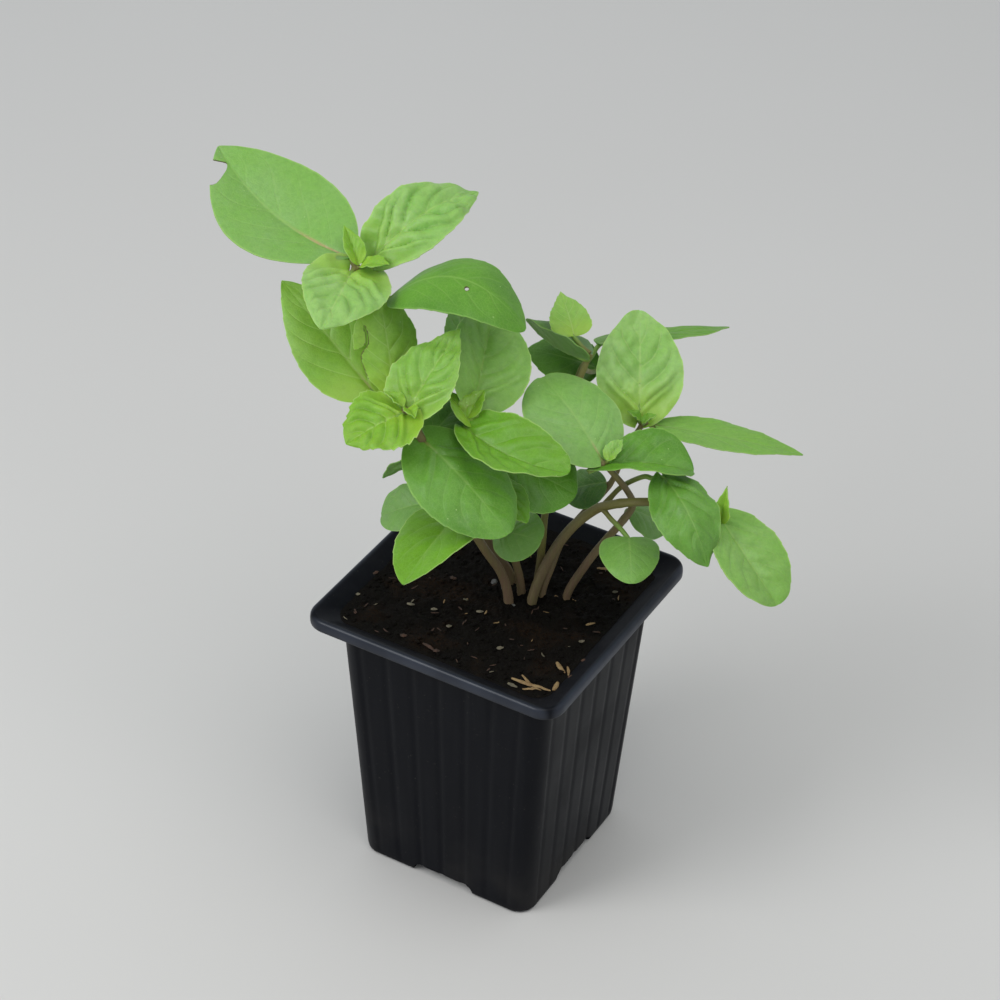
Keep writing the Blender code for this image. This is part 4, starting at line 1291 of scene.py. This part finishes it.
def boolean(target, tool, operation):
    """Joins or cuts with one tool and removes it."""
    modifier = target.modifiers.new("step", "BOOLEAN")
    modifier.operation = operation
    modifier.solver = "EXACT"
    modifier.object = tool
    bpy.context.view_layer.update()
    graph = bpy.context.evaluated_depsgraph_get()
    mesh = bpy.data.meshes.new_from_object(target.evaluated_get(graph))
    target.modifiers.clear()
    target.data = mesh
    bpy.data.objects.remove(tool, do_unlink=True)


class BASIL_OT_mould_pot(bpy.types.Operator):
    """Mould the square nursery pot with its grooves, rim, arches and drain holes"""

    bl_idname = "basil.mould_pot"
    bl_label = "Mould pot"

    def execute(self, context):
        look = context.scene.basil_pot
        depth = look.groove / MM
        rings = [pot_ring(*section, depth * share) for *section, share in POT_SECTIONS]
        points = [point for ring in rings for point in ring]
        pot = object_from("nursery_pot", points, tube_faces(len(rings), len(rings[0])))
        walls = arches("arch_walls", WALL, ARCH_WALL_FOOT, ARCH_INNER_END - WALL, ARCH_WALL_END)
        boolean(pot, walls, "UNION")
        boolean(pot, arches("arch_cutters", 0.0, -2.0, ARCH_INNER_END, ARCH_OUTER_END), "DIFFERENCE")
        boolean(pot, drains(), "DIFFERENCE")
        pot.data.materials.clear()
        pot.data.materials.append(plastic_material(look))
        pot.data.shade_smooth()
        pot.data.set_sharp_from_angle(angle=math.radians(35))
        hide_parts("pot")
        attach(pot, "root")
        return {"FINISHED"}


def soil_ring(half, corner):
    """Points round a plain rounded square."""
    straight = half - corner
    steps = SOIL_POINTS_A_SIDE
    side = [(half, straight * (2 * index / steps - 1)) for index in range(steps)]
    return all_round(side + corner_points(straight, corner, 0, SOIL_POINTS_A_CORNER))


def soil_height(x, y, lump):
    """Height of the crumbly soil surface in millimetres."""
    spot = Vector((x, y, 3.7))
    wave = math.sin(0.31 * x + 1.2) * math.cos(0.27 * y - 0.4) + 0.7 * math.sin(0.63 * y - 0.22 * x)
    clods = noise.turbulence(spot * 0.22, 4, False, noise_basis="PERLIN_ORIGINAL")
    grains = noise.noise(spot * 0.9) + 0.5 * noise.noise(spot * 2.1)
    edge = max(abs(x), abs(y))
    calm = 1.0 - 0.75 * min(1.0, max(0.0, (edge - 34.0) / 4.0))
    return SOIL_SURFACE + 0.3 * wave * calm + lump * (0.9 * (clods - 0.5) + 0.45 * grains) * calm


class BASIL_OT_fill_soil(bpy.types.Operator):
    """Fill the pot with crumbly soil"""

    bl_idname = "basil.fill_soil"
    bl_label = "Fill with soil"

    def execute(self, context):
        look = context.scene.basil_soil
        lump = look.lump / MM
        rings = []
        for half, corner, height in reversed(SOIL_SIDES):
            rings.append([(x, y, height) for x, y in soil_ring(half, corner)])
        half, corner = SOIL_EDGE
        for index in range(SOIL_RINGS):
            share = 1 - index / SOIL_RINGS
            size = half * share
            ring = soil_ring(size, min(corner, size * 0.6) * share + 0.02)
            rings.append([(x, y, soil_height(x, y, lump)) for x, y in ring])
        body = Body()
        body.add([point for ring in rings for point in ring], tube_faces(len(rings), len(rings[0])), 0)
        draw = random.Random(CRUMB_SEED)
        for _ in range(look.crumbs):
            x = draw.uniform(-CRUMB_FIELD, CRUMB_FIELD)
            y = draw.uniform(-CRUMB_FIELD, CRUMB_FIELD)
            size = 0.22 + 0.75 * draw.random() ** 2.6
            add_crumb(body, (x, y, soil_height(x, y, lump) + size * 0.15), size, draw, 0)
        soil = body.build("potting_soil", [soil_material(look)], 75.0)
        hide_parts("soil")
        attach(soil, "root")
        return {"FINISHED"}


def add_crumb(body, centre, size, draw, slot):
    """An irregular lump, from an icosahedron split once."""
    work = bmesh.new()
    bmesh.ops.create_icosphere(work, subdivisions=1 if size < 0.9 else 2, radius=1.0)
    spin = Matrix.Rotation(draw.uniform(0, ANY_TURN), 3, "Z")
    spin = spin @ Matrix.Rotation(draw.uniform(-0.5, 0.5), 3, "X")
    seed = Vector((draw.uniform(0, 90), draw.uniform(0, 90), draw.uniform(0, 90)))
    points = []
    for vertex in work.verts:
        swell = 1 + 0.45 * noise.noise(vertex.co * 1.3 + seed)
        spot = Vector(vertex.co[axis] * CRUMB_STRETCH[axis] * size * swell for axis in range(3))
        points.append(tuple(Vector(centre) + spin @ spot))
    faces = [tuple(vertex.index for vertex in face.verts) for face in work.faces]
    work.free()
    body.add(points, faces, slot)


def add_splinter(body, start, end, width, lump, draw, slot):
    """A flat, slightly bent splinter of wood that lies on the soil."""
    rows = 14
    columns = 8
    start = np.array(start, float)
    end = np.array(end, float)
    line = end - start
    length = np.linalg.norm(line)
    line /= length
    across = np.array((-line[1], line[0]))
    bend = draw.uniform(-0.06, 0.06) * length
    points = []
    for row in range(rows):
        share = row / (rows - 1)
        taper = 0.25 + 0.75 * math.sin(math.pi * min(1.0, 0.12 + share * 0.85))
        taper *= 1 + draw.uniform(-0.12, 0.12)
        spot = start + line * length * share + across * bend * 4 * share * (1 - share)
        floor = soil_height(spot[0], spot[1], lump)
        rest = max(floor, SOIL_SURFACE - 0.2) + 0.25
        for column in range(columns):
            angle = 2 * math.pi * column / columns
            aside = math.cos(angle) * width / 2 * taper
            lift = math.sin(angle) * width * 0.28 * taper
            points.append((spot[0] + across[0] * aside, spot[1] + across[1] * aside, rest + lift))
    body.add(points, tube_faces(rows, columns), slot)


class BASIL_OT_scatter_bits(bpy.types.Operator):
    """Lay straw, bark and pale bits on the soil"""

    bl_idname = "basil.scatter_bits"
    bl_label = "Scatter bits"

    def execute(self, context):
        look = context.scene.basil_soil
        lump = look.lump / MM
        draw = random.Random(BIT_SEED)
        slots = {"straw": 0, "bark": 1, "pale": 2, "stone": 3}
        body = Body()
        for kind, start, end, width in BITS:
            if kind == "stone":
                middle = ((start[0] + end[0]) / 2, (start[1] + end[1]) / 2)
                height = soil_height(*middle, lump) + 0.3
                add_crumb(body, (*middle, height), width * 0.7, draw, slots[kind])
            else:
                add_splinter(body, start, end, width, lump, draw, slots[kind])
        for _ in range(SMALL_BITS):
            kind = draw.choice(("straw", "bark", "bark", "bark", "pale"))
            x = draw.uniform(-BIT_FIELD, BIT_FIELD)
            y = draw.uniform(-BIT_FIELD, BIT_FIELD)
            turn = draw.uniform(0, ANY_TURN)
            length = draw.uniform(0.8, 2.6)
            end = (x + length * math.cos(turn), y + length * math.sin(turn))
            if max(abs(end[0]), abs(end[1])) < BIT_LIMIT:
                add_splinter(body, (x, y), end, draw.uniform(0.25, 0.6), lump, draw, slots[kind])
        materials = [
            bit_material("straw_fibre", look.straw, (0.22, 0.13, 0.05), 0.7),
            bit_material("bark_chip", (0.075, 0.032, 0.016), (0.03, 0.015, 0.008), 0.75),
            bit_material("pale_chip", (0.20, 0.17, 0.11), (0.09, 0.08, 0.05), 0.7),
            bit_material("grey_stone", (0.14, 0.14, 0.13), (0.07, 0.07, 0.065), 0.6),
        ]
        bits = body.build("soil_bits", materials, 50.0)
        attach(bits, "root")
        return {"FINISHED"}


class BASIL_OT_grow_shoots(bpy.types.Operator):
    """Grow the leafy shoots out of the soil"""

    bl_idname = "basil.grow_shoots"
    bl_label = "Grow shoots"

    def execute(self, context):
        look = context.scene.basil_leaves
        leaf_finish = leaf_material(look)
        stem_finish = stem_material(context.scene.basil_stems)
        for number, shoot in enumerate(SHOOTS):
            grow_shoot(shoot, look, leaf_finish, stem_finish, number + 1)
        return {"FINISHED"}


def area_light(name, place, target, size, power, colour):
    """A round soft light at a place, turned towards its target."""
    lamp = bpy.data.lights.new(name, "AREA")
    lamp.shape = "DISK"
    lamp.size = size
    lamp.energy = power
    lamp.color = colour
    obj = bpy.data.objects.new(name, lamp)
    obj.location = place
    obj.rotation_euler = (Vector(target) - Vector(place)).to_track_quat("-Z", "Y").to_euler()
    bpy.context.scene.collection.objects.link(obj)


class BASIL_OT_set_stage(bpy.types.Operator):
    """Set the plain floor, the soft light and the camera"""

    bl_idname = "basil.set_stage"
    bl_label = "Set stage"

    def execute(self, context):
        look = context.scene.basil_stage
        scene = context.scene
        bpy.ops.mesh.primitive_plane_add(size=8.0, location=(0.0, 0.0, 0.0))
        floor = context.object
        floor.name = "floor"
        material, nodes, shader = new_material("plain_floor")
        mottle = nodes.group("Mottle", Place=nodes.place(), Size=3.0)
        tint = nodes.mix(nodes.span(mottle["Slow"], 0.3, 0.7, 0.0, 0.12), look.floor, FLOOR_PATCH)
        nodes.put(tint, shader.inputs["Base Color"])
        shader.inputs["Roughness"].default_value = 0.8
        shader.inputs["Specular IOR Level"].default_value = 0.2
        floor.data.materials.append(material)
        world = bpy.data.worlds.new("soft_sky")
        world.use_nodes = True
        background = world.node_tree.nodes["Background"]
        background.inputs["Color"].default_value = SKY_COLOUR
        background.inputs["Strength"].default_value = look.sky
        scene.world = world
        area_light("key", (-0.5, -0.75, 0.9), (0.0, 0.0, 0.12), 0.6, look.key, (0.96, 0.98, 1.0))
        area_light("fill", (0.35, -0.2, 1.15), (0.0, 0.0, 0.14), 0.9, look.key * 0.6, (1.0, 0.98, 0.95))
        turn = math.radians(CAMERA_TURN)
        tilt = math.radians(CAMERA_TILT)
        lean = math.radians(CAMERA_LEAN)
        back = Vector((math.sin(turn) * math.cos(tilt), -math.cos(turn) * math.cos(tilt), math.sin(tilt)))
        level = Vector((math.cos(turn), math.sin(turn), 0.0))
        upright = back.cross(level)
        right = level * math.cos(lean) + upright * math.sin(lean)
        up = upright * math.cos(lean) - level * math.sin(lean)
        camera = bpy.data.cameras.new("camera")
        camera.sensor_width = 36.0
        camera.lens = CAMERA_LENS
        camera.clip_start = 0.01
        holder = bpy.data.objects.new("camera", camera)
        rows = [[right[axis], up[axis], back[axis], CAMERA_PLACE[axis]] for axis in range(3)]
        holder.matrix_world = Matrix([*rows, [0.0, 0.0, 0.0, 1.0]])
        scene.collection.objects.link(holder)
        scene.camera = holder
        scene.view_settings.view_transform = "Standard"
        return {"FINISHED"}


class BASIL_PT_panel(bpy.types.Panel):
    """Sizes, colours and steps of the potted basil"""

    bl_idname = "BASIL_PT_panel"
    bl_label = "Potted basil"
    bl_space_type = "VIEW_3D"
    bl_region_type = "UI"
    bl_category = "Basil"

    def draw(self, context):
        layout = self.layout
        for name, group in GROUPS.items():
            box = layout.box()
            for key in group.__annotations__:
                box.prop(getattr(context.scene, name), key)
        for operator in OPERATORS:
            layout.operator(operator.bl_idname)


GROUPS = {
    "basil_pot": PotLook,
    "basil_soil": SoilLook,
    "basil_stems": StemLook,
    "basil_leaves": LeafLook,
    "basil_stage": StageLook,
}
OPERATORS = (
    BASIL_OT_mould_pot,
    BASIL_OT_fill_soil,
    BASIL_OT_scatter_bits,
    BASIL_OT_grow_shoots,
    BASIL_OT_set_stage,
)


def register():
    for name, group in GROUPS.items():
        bpy.utils.register_class(group)
        setattr(bpy.types.Scene, name, bpy.props.PointerProperty(type=group))
    for operator in OPERATORS:
        bpy.utils.register_class(operator)
    bpy.utils.register_class(BASIL_PT_panel)


def unregister():
    bpy.utils.unregister_class(BASIL_PT_panel)
    for operator in reversed(OPERATORS):
        bpy.utils.unregister_class(operator)
    for name, group in reversed(GROUPS.items()):
        delattr(bpy.types.Scene, name)
        bpy.utils.unregister_class(group)


def main():
    register()
    make_vein_group()
    make_mottle_group()
    bpy.ops.basil.mould_pot()
    bpy.ops.basil.fill_soil()
    bpy.ops.basil.scatter_bits()
    bpy.ops.basil.grow_shoots()
    bpy.ops.basil.set_stage()
    bpy.context.view_layer.update()


if __name__ == "__main__":
    main()
